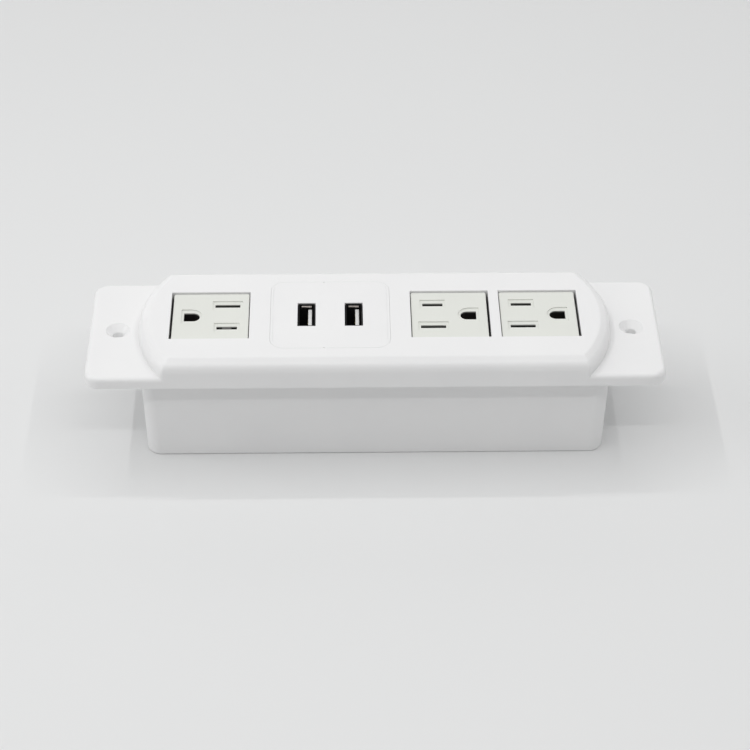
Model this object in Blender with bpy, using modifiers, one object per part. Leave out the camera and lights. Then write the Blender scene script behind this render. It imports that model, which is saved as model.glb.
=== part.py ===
"""An in-desk power strip: a faceplate with two flanges over a drop-in box, three outlets, two USB ports.

Metres, +Z up. The origin is the middle of the box's underside, +X runs along the strip, and -Y is the long
side that faces the user. Each size below is set by itself, and every place is worked out from the sizes.
"""

import math

import bmesh
import bpy
from mathutils import Matrix, Vector

GAP = 0.0003  # between two pieces that touch or fit
EMBED = 0.0007  # how far a post or rib runs into the wall that carries it
BEYOND = 0.002  # how far a cutter runs past the face that it opens

# The faceplate: a raised centre with arched ends, and a flange at each end.
RAISED_LENGTH = 0.166
END_RADIUS = 0.04
PLATE_WIDTH = 0.0555
RAISED_STEP = 0.0063
RAISED_CORNER = 0.004
SHOULDER_WIDTH = 0.00385
SHOULDER_HEIGHT = 0.0047
BAND_WIDTH = 0.0021
BAND_DROP = 0.0012
EAR_LENGTH = 0.01645
EAR_THICKNESS = 0.0043
EAR_CORNER = 0.0052
EAR_EDGE_ROUND = 0.0017
TOP_WALL = 0.003
LIP_WALL = 0.0022
LIP_DEPTH = 0.0035
HOLE_FROM_END = 0.00985
HOLE_RADIUS = 0.0019
SINK_RADIUS = 0.0042

# The box under it: a tub that narrows towards its floor.
OVERHANG = 0.00525
END_INSET = 0.002
BOX_DEPTH = 0.0348
SEAT_DEPTH = 0.0008
BOX_WALL = 0.0022
BOX_FLOOR = 0.0024
BOX_CORNER = 0.005
BOX_EDGE_ROUND = 0.0007
DRAFT = math.radians(1.6)
RIB_THICKNESS = 0.0016
RIB_INSET = 0.003
CHANNEL_WIDTH = 0.023

# The case screws, the posts that they bite into and the bosses that they pass.
SCREW_RADIUS = 0.0015
SCREW_LENGTH = 0.012
SCREW_HEAD_RADIUS = 0.0028
SCREW_HEAD_HEIGHT = 0.0019
SCREW_SUNK = 0.0008
POST_WALL = 0.0011
POST_CLEARANCE = 0.0006
BOSS_WALL = 0.0012
BOSS_FLOOR = 0.0038

# The cord inlet in the rear wall.
INLET_HEIGHT = 0.0105
CORD_BORE = 0.0042
BUSHING_WALL = 0.0014
BUSHING_RIM = 0.0015
BUSHING_RIM_THICKNESS = 0.0016
BUSHING_REACH = 0.0024

# The outlets: a face that fills a window, a housing behind it, and three contacts.
WINDOW_LENGTH = 0.0275
WINDOW_WIDTH = 0.027
WINDOW_BRIDGE = 0.0035
WINDOW_END_MARGIN = 0.01205
FACE_CLEARANCE = 0.0003
PIN_SIDE_CLEARANCE = 0.00075
FACE_SUNK = 0.0005
FACE_CORNER = 0.0007
FACE_EDGE_ROUND = 0.0003
LEDGE_WIDTH = 0.0019
LEDGE_THICKNESS = 0.002
SPIGOT_HEIGHT = 0.0018
SPIGOT_INSET = 0.0018
BLADE_SPACING = 0.0127
GROUND_DISTANCE = 0.0119
SLOT_WIDTH = 0.0016
HOT_SLOT = 0.0071
NEUTRAL_SLOT = 0.0087
GROUND_LENGTH = 0.0055
GROUND_WIDTH = 0.0047
RECESS_MARGIN = 0.0009
RECESS_SIDE_MARGIN = 0.0017
RECESS_DEPTH = 0.0004
HOUSING_REACH = 0.0212
HOUSING_FLOOR = 0.0016
LEAF = 0.0006
TAIL_THICKNESS = 0.0009
TAIL_LENGTH = 0.003
CONTACT_SUNK = 0.0006
BLADE_MOUTH = 0.002
BLADE_THROAT = 0.001
BLADE_BELLY = 0.0022
PIN_MOUTH = 0.005
PIN_THROAT = 0.0043
PIN_BELLY = 0.005
FLARE_HEIGHT = 0.0025
THROAT_HEIGHT = 0.005

# The USB supply: a flush panel, two ports and a board with its components underneath.
PANEL_LENGTH = 0.0415
PANEL_WIDTH = 0.0386
PANEL_CORNER = 0.005
PANEL_THICKNESS = 0.0012
SKIRT_WALL = 0.0014
SKIRT_DEPTH = 0.0035
SKIRT_MARGIN = 0.0024
PORT_SPACING = 0.0164
PORT_LENGTH = 0.0134
PORT_WIDTH = 0.0063
SHELL_WALL = 0.0003
SHELL_DEPTH = 0.014
SHELL_SUNK = 0.00015
SPRING_WIDTH = 0.0034
SPRING_HEIGHT = 0.0009
SPRING_RISE = 0.0005
SPRING_DROP = 0.0005
TONGUE_WIDTH = 0.0111
TONGUE_THICKNESS = 0.0013
TONGUE_SUNK = 0.002
TONGUE_OFFSET = 0.0007
INSULATOR_HEIGHT = 0.003
BOARD_LENGTH = 0.044
BOARD_WIDTH = 0.03
BOARD_THICKNESS = 0.0016
BOARD_SCREW_INSET = 0.0032
BOARD_SCREW_RADIUS = 0.001
BOARD_SCREW_LENGTH = 0.007
BOARD_SCREW_HEAD_RADIUS = 0.0021
BOARD_SCREW_HEAD_HEIGHT = 0.0014
CORE_LENGTH = 0.016
CORE_HEIGHT = 0.012
CORE_THICKNESS = 0.005
CORE_LEG = 0.0024
COIL_THICKNESS = 0.0024
INPUT_CAPACITOR_RADIUS = 0.004
INPUT_CAPACITOR_HEIGHT = 0.0125
OUTPUT_CAPACITOR_RADIUS = 0.00315
OUTPUT_CAPACITOR_HEIGHT = 0.009
CAPACITOR_CRIMP = 0.0004
FILM_CAPACITOR = (0.009, 0.0045, 0.008)
RECTIFIER = (0.006, 0.005, 0.0026)
CHIP = (0.005, 0.004, 0.0016)
FUSE_RADIUS = 0.0017
FUSE_LENGTH = 0.007
FUSE_CAP_LENGTH = 0.0016
FUSE_WAIST = 0.0002

# The wires between the contacts, one level each so that they cross clear of each other.
WIRE_RADIUS = 0.00105
WIRE_PITCH = 0.0032
LOWEST_WIRE = 0.0061
WIRE_BEND = 0.0026
WIRE_OFFSET = 0.00125
USB_LEAD_RISE = 0.0013
USB_LEAD_DRIFT = 0.0032
USB_LEAD_INSET = 0.0029

# Heights, from the box's underside up.
SEAT = BOX_DEPTH + GAP
EAR_UNDERSIDE = SEAT - SEAT_DEPTH
EAR_TOP = EAR_UNDERSIDE + EAR_THICKNESS
TOP = EAR_TOP + RAISED_STEP
CEILING = TOP - TOP_WALL
FACE_TOP = TOP - FACE_SUNK
LEDGE_TOP = CEILING - GAP
FACE_UNDERSIDE = LEDGE_TOP - LEDGE_THICKNESS
SPIGOT_TOP = FACE_UNDERSIDE + SPIGOT_HEIGHT - GAP
HOUSING_TOP = FACE_UNDERSIDE - GAP
HOUSING_BOTTOM = FACE_UNDERSIDE - HOUSING_REACH + LEDGE_THICKNESS
CONTACT_TOP = SPIGOT_TOP - CONTACT_SUNK
CONTACT_BASE = HOUSING_BOTTOM + HOUSING_FLOOR + GAP
TAIL_END = HOUSING_BOTTOM - TAIL_LENGTH
SHELL_TOP = TOP - SHELL_SUNK
SHELL_BOTTOM = SHELL_TOP - SHELL_DEPTH
BOARD_TOP = SHELL_BOTTOM - GAP
BOARD_BOTTOM = BOARD_TOP - BOARD_THICKNESS
COMPONENT_TOP = BOARD_BOTTOM - GAP
COUNTERBORE_DEPTH = SCREW_SUNK + SCREW_HEAD_HEIGHT + GAP
BOSS_TOP = COUNTERBORE_DEPTH + BOSS_FLOOR

# Places along and across the strip.
PLATE_LENGTH = RAISED_LENGTH + 2 * EAR_LENGTH
HOLE_X = PLATE_LENGTH / 2 - HOLE_FROM_END
BOX_LENGTH = RAISED_LENGTH - 2 * END_INSET
BOX_WIDTH = PLATE_WIDTH - 2 * OVERHANG
LIP_LENGTH = BOX_LENGTH - 2 * (BOX_WALL + GAP)
LIP_WIDTH = BOX_WIDTH - 2 * (BOX_WALL + GAP)
POST_RADIUS = SCREW_RADIUS + GAP + POST_WALL
BOSS_RADIUS = SCREW_HEAD_RADIUS + GAP + BOSS_WALL
DRAFT_INSET = BOX_DEPTH * math.tan(DRAFT)
POST_FROM_WALL = BOX_WALL + DRAFT_INSET + POST_CLEARANCE + POST_RADIUS
POST_X = BOX_LENGTH / 2 - POST_FROM_WALL
POST_Y = BOX_WIDTH / 2 - POST_FROM_WALL
END_OUTLET_X = RAISED_LENGTH / 2 - WINDOW_END_MARGIN - WINDOW_LENGTH / 2
MIDDLE_OUTLET_X = END_OUTLET_X - WINDOW_LENGTH - WINDOW_BRIDGE
USB_X = (MIDDLE_OUTLET_X - END_OUTLET_X) / 2
OUTLETS = {"left": (-END_OUTLET_X, -1), "middle": (MIDDLE_OUTLET_X, 1), "right": (END_OUTLET_X, 1)}
FACE_LENGTH = WINDOW_LENGTH - FACE_CLEARANCE - PIN_SIDE_CLEARANCE
FACE_WIDTH = WINDOW_WIDTH - 2 * FACE_CLEARANCE
FACE_X = (FACE_CLEARANCE - PIN_SIDE_CLEARANCE) / 2
LEDGE_SPAN = FACE_WIDTH + 2 * LEDGE_WIDTH
BLADE_X = -GROUND_DISTANCE / 2
BLADE_Y = BLADE_SPACING / 2
GROUND_X = GROUND_DISTANCE / 2 + (GROUND_LENGTH - GROUND_WIDTH) / 2
BOARD_SCREW_X = BOARD_LENGTH / 2 - BOARD_SCREW_INSET
BOARD_POST_RADIUS = BOARD_SCREW_RADIUS + GAP + POST_WALL
INLET_RADIUS = CORD_BORE + BUSHING_WALL + GAP

for old in list(bpy.data.objects):
    bpy.data.objects.remove(old)

PARTS = bpy.data.collections.new("desk_power_strip")
TOOLS = bpy.data.collections.new("cutters")
for group in (PARTS, TOOLS):
    bpy.context.scene.collection.children.link(group)


def material(name, colour, roughness, metallic=0.0):
    made = bpy.data.materials.new(name)
    made.use_nodes = True
    shader = made.node_tree.nodes["Principled BSDF"]
    shader.inputs["Base Color"].default_value = (*colour, 1.0)
    shader.inputs["Roughness"].default_value = roughness
    shader.inputs["Metallic"].default_value = metallic
    return made


WHITE_ABS = material("white_abs", (0.84, 0.84, 0.84), 0.4)
OUTLET_PLASTIC = material("outlet_plastic", (0.74, 0.74, 0.70), 0.45)
HOUSING_PLASTIC = material("housing_plastic", (0.62, 0.60, 0.55), 0.6)
BRASS = material("brass", (0.70, 0.56, 0.28), 0.35, 1.0)
STEEL = material("zinc_steel", (0.66, 0.66, 0.66), 0.35, 1.0)
PORT_STEEL = material("port_steel", (0.10, 0.10, 0.10), 0.4, 1.0)
TONGUE_PLASTIC = material("tongue_plastic", (0.75, 0.75, 0.74), 0.5)
RUBBER = material("rubber", (0.55, 0.55, 0.55), 0.8)
BOARD_RESIN = material("board_resin", (0.10, 0.28, 0.12), 0.5)
FERRITE = material("ferrite", (0.06, 0.06, 0.06), 0.7)
COIL_TAPE = material("coil_tape", (0.75, 0.60, 0.12), 0.5)
CAN_SLEEVE = material("can_sleeve", (0.08, 0.08, 0.10), 0.4)
FILM_CASE = material("film_case", (0.80, 0.65, 0.20), 0.5)
CHIP_RESIN = material("chip_resin", (0.04, 0.04, 0.04), 0.6)
FUSE_BODY = material("fuse_body", (0.60, 0.55, 0.45), 0.5)
BLACK_WIRE = material("black_wire", (0.03, 0.03, 0.03), 0.5)
WHITE_WIRE = material("white_wire", (0.80, 0.80, 0.80), 0.5)
GREEN_WIRE = material("green_wire", (0.05, 0.35, 0.10), 0.5)


def piece(name, mesh, finish, place=(0, 0, 0), parent=None):
    """Adds a named part of the strip, with its material."""
    made = bpy.data.objects.new(name, mesh)
    made.location = place
    made.parent = parent
    PARTS.objects.link(made)
    mesh.materials.append(finish)
    return made


def mesh_of(bm, name):
    """The finished mesh of a bmesh, its faces turned outwards."""
    bmesh.ops.recalc_face_normals(bm, faces=bm.faces)
    mesh = bpy.data.meshes.new(name)
    bm.to_mesh(mesh)
    bm.free()
    return mesh


def shape(target, operation, name, bm):
    """Joins the solids in bm to the target, or cuts them from it, with a Boolean."""
    tool = bpy.data.objects.new(name, mesh_of(bm, name))
    tool.hide_render = True
    tool.display_type = "WIRE"
    TOOLS.objects.link(tool)
    modifier = target.modifiers.new(name, "BOOLEAN")
    modifier.operation = operation
    modifier.solver = "EXACT"
    modifier.object = tool


def applied(target):
    """Makes the modifiers part of the target's mesh, and gives that mesh."""
    bpy.context.view_layer.update()
    graph = bpy.context.evaluated_depsgraph_get()
    mesh = bpy.data.meshes.new_from_object(target.evaluated_get(graph))
    target.modifiers.clear()
    target.data = mesh
    return mesh


def add_block(bm, low, high):
    low, high = Vector(low), Vector(high)
    size = high - low
    frame = Matrix.Translation((low + high) / 2) @ Matrix.Diagonal((*size, 1))
    return bmesh.ops.create_cube(bm, size=1, matrix=frame)["verts"]


def add_centred_block(bm, x, y, length, width, bottom, top):
    low = (x - length / 2, y - width / 2, bottom)
    high = (x + length / 2, y + width / 2, top)
    return add_block(bm, low, high)


def add_cylinder(bm, x, y, radius, bottom, top, top_radius=None, sides=24):
    bmesh.ops.create_cone(
        bm,
        cap_ends=True,
        segments=sides,
        radius1=radius,
        radius2=radius if top_radius is None else top_radius,
        depth=top - bottom,
        matrix=Matrix.Translation((x, y, (bottom + top) / 2)),
    )


def round_edges(bm, edges, radius, steps):
    bmesh.ops.bevel(
        bm, geom=edges, offset=radius, segments=steps, profile=0.5, affect="EDGES", material=-1
    )


def is_upright(edge):
    start, end = edge.verts
    return abs(start.co.z - end.co.z) > abs(start.co.x - end.co.x) + abs(start.co.y - end.co.y)


def rounded_block(length, width, bottom, top, corner, steps=5, draft=0.0):
    """A block about the Z axis with rounded corners, drawn in towards its bottom by the draft."""
    bm = bmesh.new()
    add_centred_block(bm, 0, 0, length, width, bottom, top)
    round_edges(bm, [edge for edge in bm.edges if is_upright(edge)], corner, steps)
    inset = (top - bottom) * math.tan(draft)
    for vert in bm.verts:
        if vert.co.z < (bottom + top) / 2:
            vert.co.x -= math.copysign(inset, vert.co.x)
            vert.co.y -= math.copysign(inset, vert.co.y)
    return bm


def round_rim(bm, height, radius, steps):
    """Rounds the edges that lie all round a block at one height."""
    level = [
        edge for edge in bm.edges if all(abs(vert.co.z - height) < 1e-6 for vert in edge.verts)
    ]
    round_edges(bm, level, radius, steps)


def turned(name, profile, finish, closed=False, steps=24, place=(0, 0, 0)):
    """A turned piece from (radius, height) points, which run down its outer side."""
    bm = bmesh.new()
    points = [bm.verts.new((radius, 0, height)) for radius, height in profile]
    for start, end in zip(points, points[1:]):
        bm.edges.new((start, end))
    if closed:
        bm.edges.new((points[-1], points[0]))
    mesh = bpy.data.meshes.new(name)
    bm.to_mesh(mesh)
    bm.free()
    made = piece(name, mesh, finish, place)
    screw = made.modifiers.new("turn", "SCREW")
    screw.steps = steps
    screw.render_steps = steps
    screw.use_merge_vertices = True
    screw.merge_threshold = 0.00001
    screw.use_smooth_shade = False
    return made


# The faceplate.


def add_shoulder(bm, top_face, steps):
    """Draws the top of a block inwards: an arc up from its walls, then the sloping band round its top."""
    across = SHOULDER_WIDTH - BAND_WIDTH
    up = SHOULDER_HEIGHT - BAND_DROP
    sweep = 2 * math.atan2(across, up)
    radius = up / math.sin(sweep)
    angles = [sweep * step / steps for step in range(1, steps + 1)]
    profile = [(radius * (1 - math.cos(angle)), radius * math.sin(angle)) for angle in angles]
    profile.append((SHOULDER_WIDTH, SHOULDER_HEIGHT))
    reached = (0.0, 0.0)
    for inwards, upwards in profile:
        bmesh.ops.inset_region(
            bm,
            faces=[top_face],
            thickness=inwards - reached[0],
            depth=upwards - reached[1],
            use_even_offset=True,
        )
        reached = (inwards, upwards)


def raised_centre(end_steps=12, corner_steps=3, shoulder_steps=3):
    """The raised centre: straight long sides, arched ends and a rounded shoulder."""
    arc_centre = RAISED_LENGTH / 2 - END_RADIUS
    sweep = math.asin(PLATE_WIDTH / 2 / END_RADIUS)
    bm = bmesh.new()
    outline = []
    for side in (1, -1):
        for step in range(end_steps + 1):
            angle = sweep * (2 * step / end_steps - 1)
            across = side * (arc_centre + END_RADIUS * math.cos(angle))
            along = side * END_RADIUS * math.sin(angle)
            outline.append(bm.verts.new((across, along, EAR_UNDERSIDE)))
    floor = bm.faces.new(outline)
    grown = bmesh.ops.extrude_face_region(bm, geom=[floor])["geom"]
    rise = RAISED_STEP + EAR_THICKNESS - SHOULDER_HEIGHT
    risen = [item for item in grown if isinstance(item, bmesh.types.BMVert)]
    bmesh.ops.translate(bm, verts=risen, vec=(0, 0, rise))
    bmesh.ops.recalc_face_normals(bm, faces=bm.faces)
    corner_x = arc_centre + END_RADIUS * math.cos(sweep)
    corners = [
        edge
        for edge in bm.edges
        if is_upright(edge) and abs(abs(edge.verts[0].co.x) - corner_x) < 1e-6
    ]
    turn = math.pi / 2 - sweep
    round_edges(bm, corners, RAISED_CORNER * math.tan(turn / 2), corner_steps)
    top_face = max(bm.faces, key=lambda face: face.calc_center_median().z)
    add_shoulder(bm, top_face, shoulder_steps)
    return bm


def make_faceplate():
    plate = rounded_block(PLATE_LENGTH, PLATE_WIDTH, EAR_UNDERSIDE, EAR_TOP, EAR_CORNER)
    round_rim(plate, EAR_TOP, EAR_EDGE_ROUND, 4)
    faceplate = piece("faceplate", mesh_of(plate, "faceplate"), WHITE_ABS)
    shape(faceplate, "UNION", "raised_centre", raised_centre())

    seat_size = (BOX_LENGTH + 2 * GAP, BOX_WIDTH + 2 * GAP)
    seat = rounded_block(*seat_size, EAR_UNDERSIDE - BEYOND, SEAT, BOX_CORNER + GAP)
    shape(faceplate, "DIFFERENCE", "box_seat", seat)
    lip_corner = BOX_CORNER - BOX_WALL
    lip_bottom = SEAT - LIP_DEPTH
    lip = rounded_block(LIP_LENGTH, LIP_WIDTH, lip_bottom, SEAT + EMBED, lip_corner)
    shape(faceplate, "UNION", "locating_lip", lip)
    hollow_length = LIP_LENGTH - 2 * LIP_WALL
    hollow_width = LIP_WIDTH - 2 * LIP_WALL
    hollow = rounded_block(hollow_length, hollow_width, lip_bottom - BEYOND, CEILING, lip_corner / 2)
    shape(faceplate, "DIFFERENCE", "hollow", hollow)

    post_places = [(x, y) for x in (-POST_X, POST_X) for y in (-POST_Y, POST_Y)]
    board_places = [(USB_X - BOARD_SCREW_X, 0), (USB_X + BOARD_SCREW_X, 0)]
    posts = bmesh.new()
    pilots = bmesh.new()
    post_bottom = BOSS_TOP + GAP
    pilot_top = COUNTERBORE_DEPTH + SCREW_LENGTH + GAP
    for x, y in post_places:
        add_cylinder(posts, x, y, POST_RADIUS, post_bottom, CEILING + EMBED)
        add_cylinder(pilots, x, y, SCREW_RADIUS + GAP, post_bottom - BEYOND, pilot_top, sides=16)
    board_pilot_top = BOARD_BOTTOM + BOARD_SCREW_LENGTH
    board_pilot_bottom = BOARD_TOP - BEYOND
    board_pilot = BOARD_SCREW_RADIUS + GAP
    for x, y in board_places:
        add_cylinder(posts, x, y, BOARD_POST_RADIUS, BOARD_TOP + GAP, CEILING + EMBED)
        add_cylinder(pilots, x, y, board_pilot, board_pilot_bottom, board_pilot_top, sides=16)
    shape(faceplate, "UNION", "screw_posts", posts)
    shape(faceplate, "DIFFERENCE", "pilot_holes", pilots)

    windows = bmesh.new()
    for x, _ in OUTLETS.values():
        bottom = CEILING - BEYOND
        add_centred_block(windows, x, 0, WINDOW_LENGTH, WINDOW_WIDTH, bottom, TOP + BEYOND)
    shape(faceplate, "DIFFERENCE", "outlet_windows", windows)

    recess_bottom = TOP - PANEL_THICKNESS - GAP
    recess = rounded_block(PANEL_LENGTH, PANEL_WIDTH, recess_bottom, TOP + BEYOND, PANEL_CORNER)
    bmesh.ops.translate(recess, verts=recess.verts, vec=(USB_X, 0, 0))
    shape(faceplate, "DIFFERENCE", "usb_recess", recess)
    opening = bmesh.new()
    length, width = skirt_size()
    through = (CEILING - BEYOND, recess_bottom + BEYOND)
    add_centred_block(opening, USB_X, 0, length + 2 * GAP, width + 2 * GAP, *through)
    shape(faceplate, "DIFFERENCE", "usb_opening", opening)

    sinks = bmesh.new()
    holes = bmesh.new()
    sink_depth = SINK_RADIUS - HOLE_RADIUS
    for x in (-HOLE_X, HOLE_X):
        past = SINK_RADIUS + BEYOND
        top = EAR_TOP + BEYOND
        add_cylinder(sinks, x, 0, HOLE_RADIUS, EAR_TOP - sink_depth, top, top_radius=past, sides=32)
        add_cylinder(holes, x, 0, HOLE_RADIUS, EAR_UNDERSIDE - BEYOND, top, sides=32)
    shape(faceplate, "DIFFERENCE", "countersinks", sinks)
    shape(faceplate, "DIFFERENCE", "screw_holes", holes)


# The box and its screws.


def inner_half(width, height):
    """Half the clear width inside the box at a height, between walls that lean in towards the floor."""
    return width / 2 - BOX_WALL - (BOX_DEPTH - height) * math.tan(DRAFT)


def make_box():
    shell = rounded_block(BOX_LENGTH, BOX_WIDTH, 0, BOX_DEPTH, BOX_CORNER, draft=DRAFT)
    round_rim(shell, 0, BOX_EDGE_ROUND, 2)
    box = piece("under_box", mesh_of(shell, "under_box"), WHITE_ABS)
    inside_length = BOX_LENGTH - 2 * BOX_WALL
    inside_width = BOX_WIDTH - 2 * BOX_WALL
    rim = BOX_DEPTH
    inside = rounded_block(
        inside_length, inside_width, BOX_FLOOR, rim, BOX_CORNER - BOX_WALL, draft=DRAFT
    )
    for vert in inside.verts:
        if vert.co.z > rim - 1e-6:
            vert.co.z += BEYOND
    shape(box, "DIFFERENCE", "inside", inside)

    bosses = bmesh.new()
    counterbores = bmesh.new()
    passages = bmesh.new()
    for x in (-POST_X, POST_X):
        for y in (-POST_Y, POST_Y):
            add_cylinder(bosses, x, y, BOSS_RADIUS, BOX_FLOOR - EMBED, BOSS_TOP)
            head_room = SCREW_HEAD_RADIUS + GAP
            add_cylinder(counterbores, x, y, head_room, -BEYOND, COUNTERBORE_DEPTH)
            passage = SCREW_RADIUS + GAP
            add_cylinder(passages, x, y, passage, -BEYOND, BOSS_TOP + BEYOND, sides=16)
    trim = rounded_block(BOX_LENGTH, BOX_WIDTH, 0, BOX_DEPTH, BOX_CORNER, draft=DRAFT)
    for vert in trim.verts:
        vert.co.x -= math.copysign(BOX_WALL / 2, vert.co.x)
        vert.co.y -= math.copysign(BOX_WALL / 2, vert.co.y)
    shape(box, "UNION", "cradle_ribs", cradle_ribs())
    shape(box, "UNION", "screw_bosses", bosses_inside(bosses, trim))
    shape(box, "DIFFERENCE", "counterbores", counterbores)
    shape(box, "DIFFERENCE", "screw_passages", passages)

    inlet = bmesh.new()
    wall_depth = BOX_WALL + DRAFT_INSET + BEYOND
    add_cylinder(inlet, 0, 0, INLET_RADIUS, -wall_depth, wall_depth, sides=32)
    turn = Matrix.Translation((USB_X, BOX_WIDTH / 2, INLET_HEIGHT)) @ Matrix.Rotation(math.pi / 2, 4, "X")
    bmesh.ops.transform(inlet, matrix=turn, verts=inlet.verts)
    shape(box, "DIFFERENCE", "cord_inlet", inlet)


def bosses_inside(bosses, trim):
    """The bosses, cut back to the middle of the box's walls where they run into a corner."""
    holder = bpy.data.objects.new("boss_blanks", mesh_of(bosses, "boss_blanks"))
    TOOLS.objects.link(holder)
    holder.hide_render = True
    holder.display_type = "WIRE"
    shape(holder, "INTERSECT", "boss_trim", trim)
    bm = bmesh.new()
    bm.from_mesh(applied(holder))
    return bm


def cradle_ribs():
    """Two ribs from each long wall under each outlet, which hold the housings up."""
    ribs = bmesh.new()
    rib_x = FACE_LENGTH / 2 - RIB_INSET
    rib_top = HOUSING_BOTTOM - GAP
    outer = inner_half(BOX_WIDTH, BOX_FLOOR) + BOX_WALL / 2
    for outlet_x, _ in OUTLETS.values():
        for x in (outlet_x - rib_x, outlet_x + rib_x):
            for side in (-1, 1):
                middle = side * (CHANNEL_WIDTH / 2 + outer) / 2
                width = outer - CHANNEL_WIDTH / 2
                bottom = BOX_FLOOR - EMBED
                add_centred_block(ribs, x, middle, RIB_THICKNESS, width, bottom, rib_top)
    return ribs


def screw_profile(radius, length, head_radius, head_height):
    """Half the outline of a screw that points up, from its tip down to the middle of its head."""
    return [
        (0, length),
        (radius / 3, length),
        (radius, length - radius),
        (radius, 0),
        (head_radius, 0),
        (head_radius, -head_height / 2),
        (head_radius - head_height / 3, -head_height),
        (0, -head_height),
    ]


def make_screw(name, place, radius, length, head_radius, head_height):
    profile = screw_profile(radius, length, head_radius, head_height)
    screw = turned(name, profile, STEEL, steps=16, place=place)
    arm = head_radius - head_height / 3
    cross = bmesh.new()
    slot = radius / 2
    bottom = place[2] - head_height - BEYOND
    top = place[2] - head_height / 2
    add_centred_block(cross, place[0], place[1], 2 * arm, slot, bottom, top)
    shape(screw, "DIFFERENCE", name + "_slot", cross)
    bar = bmesh.new()
    add_centred_block(bar, place[0], place[1], slot, 2 * arm, bottom, top)
    shape(screw, "DIFFERENCE", name + "_cross_slot", bar)


def make_case_screws():
    for front, y in (("front", -POST_Y), ("rear", POST_Y)):
        for end, x in (("left", -POST_X), ("right", POST_X)):
            place = (x, y, COUNTERBORE_DEPTH - GAP)
            sizes = (SCREW_RADIUS, SCREW_LENGTH, SCREW_HEAD_RADIUS, SCREW_HEAD_HEIGHT)
            make_screw(f"case_screw_{front}_{end}", place, *sizes)


def make_bushing():
    """A ring in the rear wall, with a rim outside and a smaller barb inside."""
    body = CORD_BORE + BUSHING_WALL
    wall_out = BOX_WALL + DRAFT_INSET
    rim = body + BUSHING_RIM
    profile = [
        (CORD_BORE, BUSHING_RIM_THICKNESS),
        (rim - BUSHING_RIM_THICKNESS / 3, BUSHING_RIM_THICKNESS),
        (rim, BUSHING_RIM_THICKNESS * 2 / 3),
        (rim, 0),
        (body, 0),
        (body, -wall_out - BUSHING_REACH / 2),
        (body - GAP, -wall_out - BUSHING_REACH),
        (CORD_BORE, -wall_out - BUSHING_REACH),
    ]
    outer_face = BOX_WIDTH / 2 - (BOX_DEPTH - INLET_HEIGHT - rim) * math.tan(DRAFT)
    place = (USB_X, outer_face + GAP, INLET_HEIGHT)
    bushing = turned("cord_inlet_bushing", profile, RUBBER, closed=True, steps=32, place=place)
    bushing.rotation_euler = (-math.pi / 2, 0, 0)


# The outlets.


def add_d_hole(bm, x, length, width, bottom, top):
    """A U-shaped hole, round on the side of the blades and flat on the other."""
    nearly_half = 0.49 * width
    verts = add_centred_block(bm, x, 0, length, width, bottom, top)
    edges = {edge for vert in verts for edge in vert.link_edges}
    rounded = [edge for edge in edges if is_upright(edge) and edge.verts[0].co.x < x]
    round_edges(bm, rounded, nearly_half, 5)


def face_mesh():
    """The face: a plug that fills the window, ledges under the plate and a pocket for the spigot."""
    bm = rounded_block(FACE_LENGTH, FACE_WIDTH, FACE_UNDERSIDE, FACE_TOP, FACE_CORNER, steps=2)
    round_rim(bm, FACE_TOP, FACE_EDGE_ROUND, 1)
    bmesh.ops.translate(bm, verts=bm.verts, vec=(FACE_X, 0, 0))
    face = piece("outlet_face", mesh_of(bm, "outlet_face"), OUTLET_PLASTIC)
    ledges = bmesh.new()
    add_centred_block(ledges, FACE_X, 0, FACE_LENGTH, LEDGE_SPAN, FACE_UNDERSIDE, LEDGE_TOP)
    shape(face, "UNION", "face_ledges", ledges)
    pocket = bmesh.new()
    inset = 2 * (SPIGOT_INSET - GAP)
    size = (FACE_LENGTH - inset, FACE_WIDTH - inset)
    pocket_top = FACE_UNDERSIDE + SPIGOT_HEIGHT
    add_centred_block(pocket, FACE_X, 0, *size, FACE_UNDERSIDE - BEYOND, pocket_top)
    shape(face, "DIFFERENCE", "face_pocket", pocket)

    recesses = bmesh.new()
    slots = bmesh.new()
    margin = 2 * RECESS_MARGIN
    side_margin = 2 * RECESS_SIDE_MARGIN
    level = FACE_TOP - RECESS_DEPTH
    above = FACE_TOP + BEYOND
    for y, length in ((BLADE_Y, HOT_SLOT), (-BLADE_Y, NEUTRAL_SLOT)):
        size = (length + margin, SLOT_WIDTH + side_margin)
        add_centred_block(recesses, BLADE_X, y, *size, level, above)
        add_centred_block(slots, BLADE_X, y, length, SLOT_WIDTH, FACE_UNDERSIDE, above)
    size = (GROUND_LENGTH + margin, GROUND_WIDTH + side_margin)
    add_d_hole(recesses, GROUND_X, *size, level, above)
    add_d_hole(slots, GROUND_X, GROUND_LENGTH, GROUND_WIDTH, FACE_UNDERSIDE, above)
    shape(face, "DIFFERENCE", "face_recesses", recesses)
    shape(face, "DIFFERENCE", "face_slots", slots)
    return taken(face)


def taken(pattern):
    """The finished mesh of a pattern piece, which is then removed."""
    mesh = applied(pattern)
    bpy.data.objects.remove(pattern)
    return mesh


def blade_reach():
    return BLADE_BELLY / 2 + LEAF + GAP


def pin_reach():
    return PIN_BELLY / 2 + LEAF + GAP


def blade_contact_length(slot):
    return slot - 2 * GAP


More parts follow.
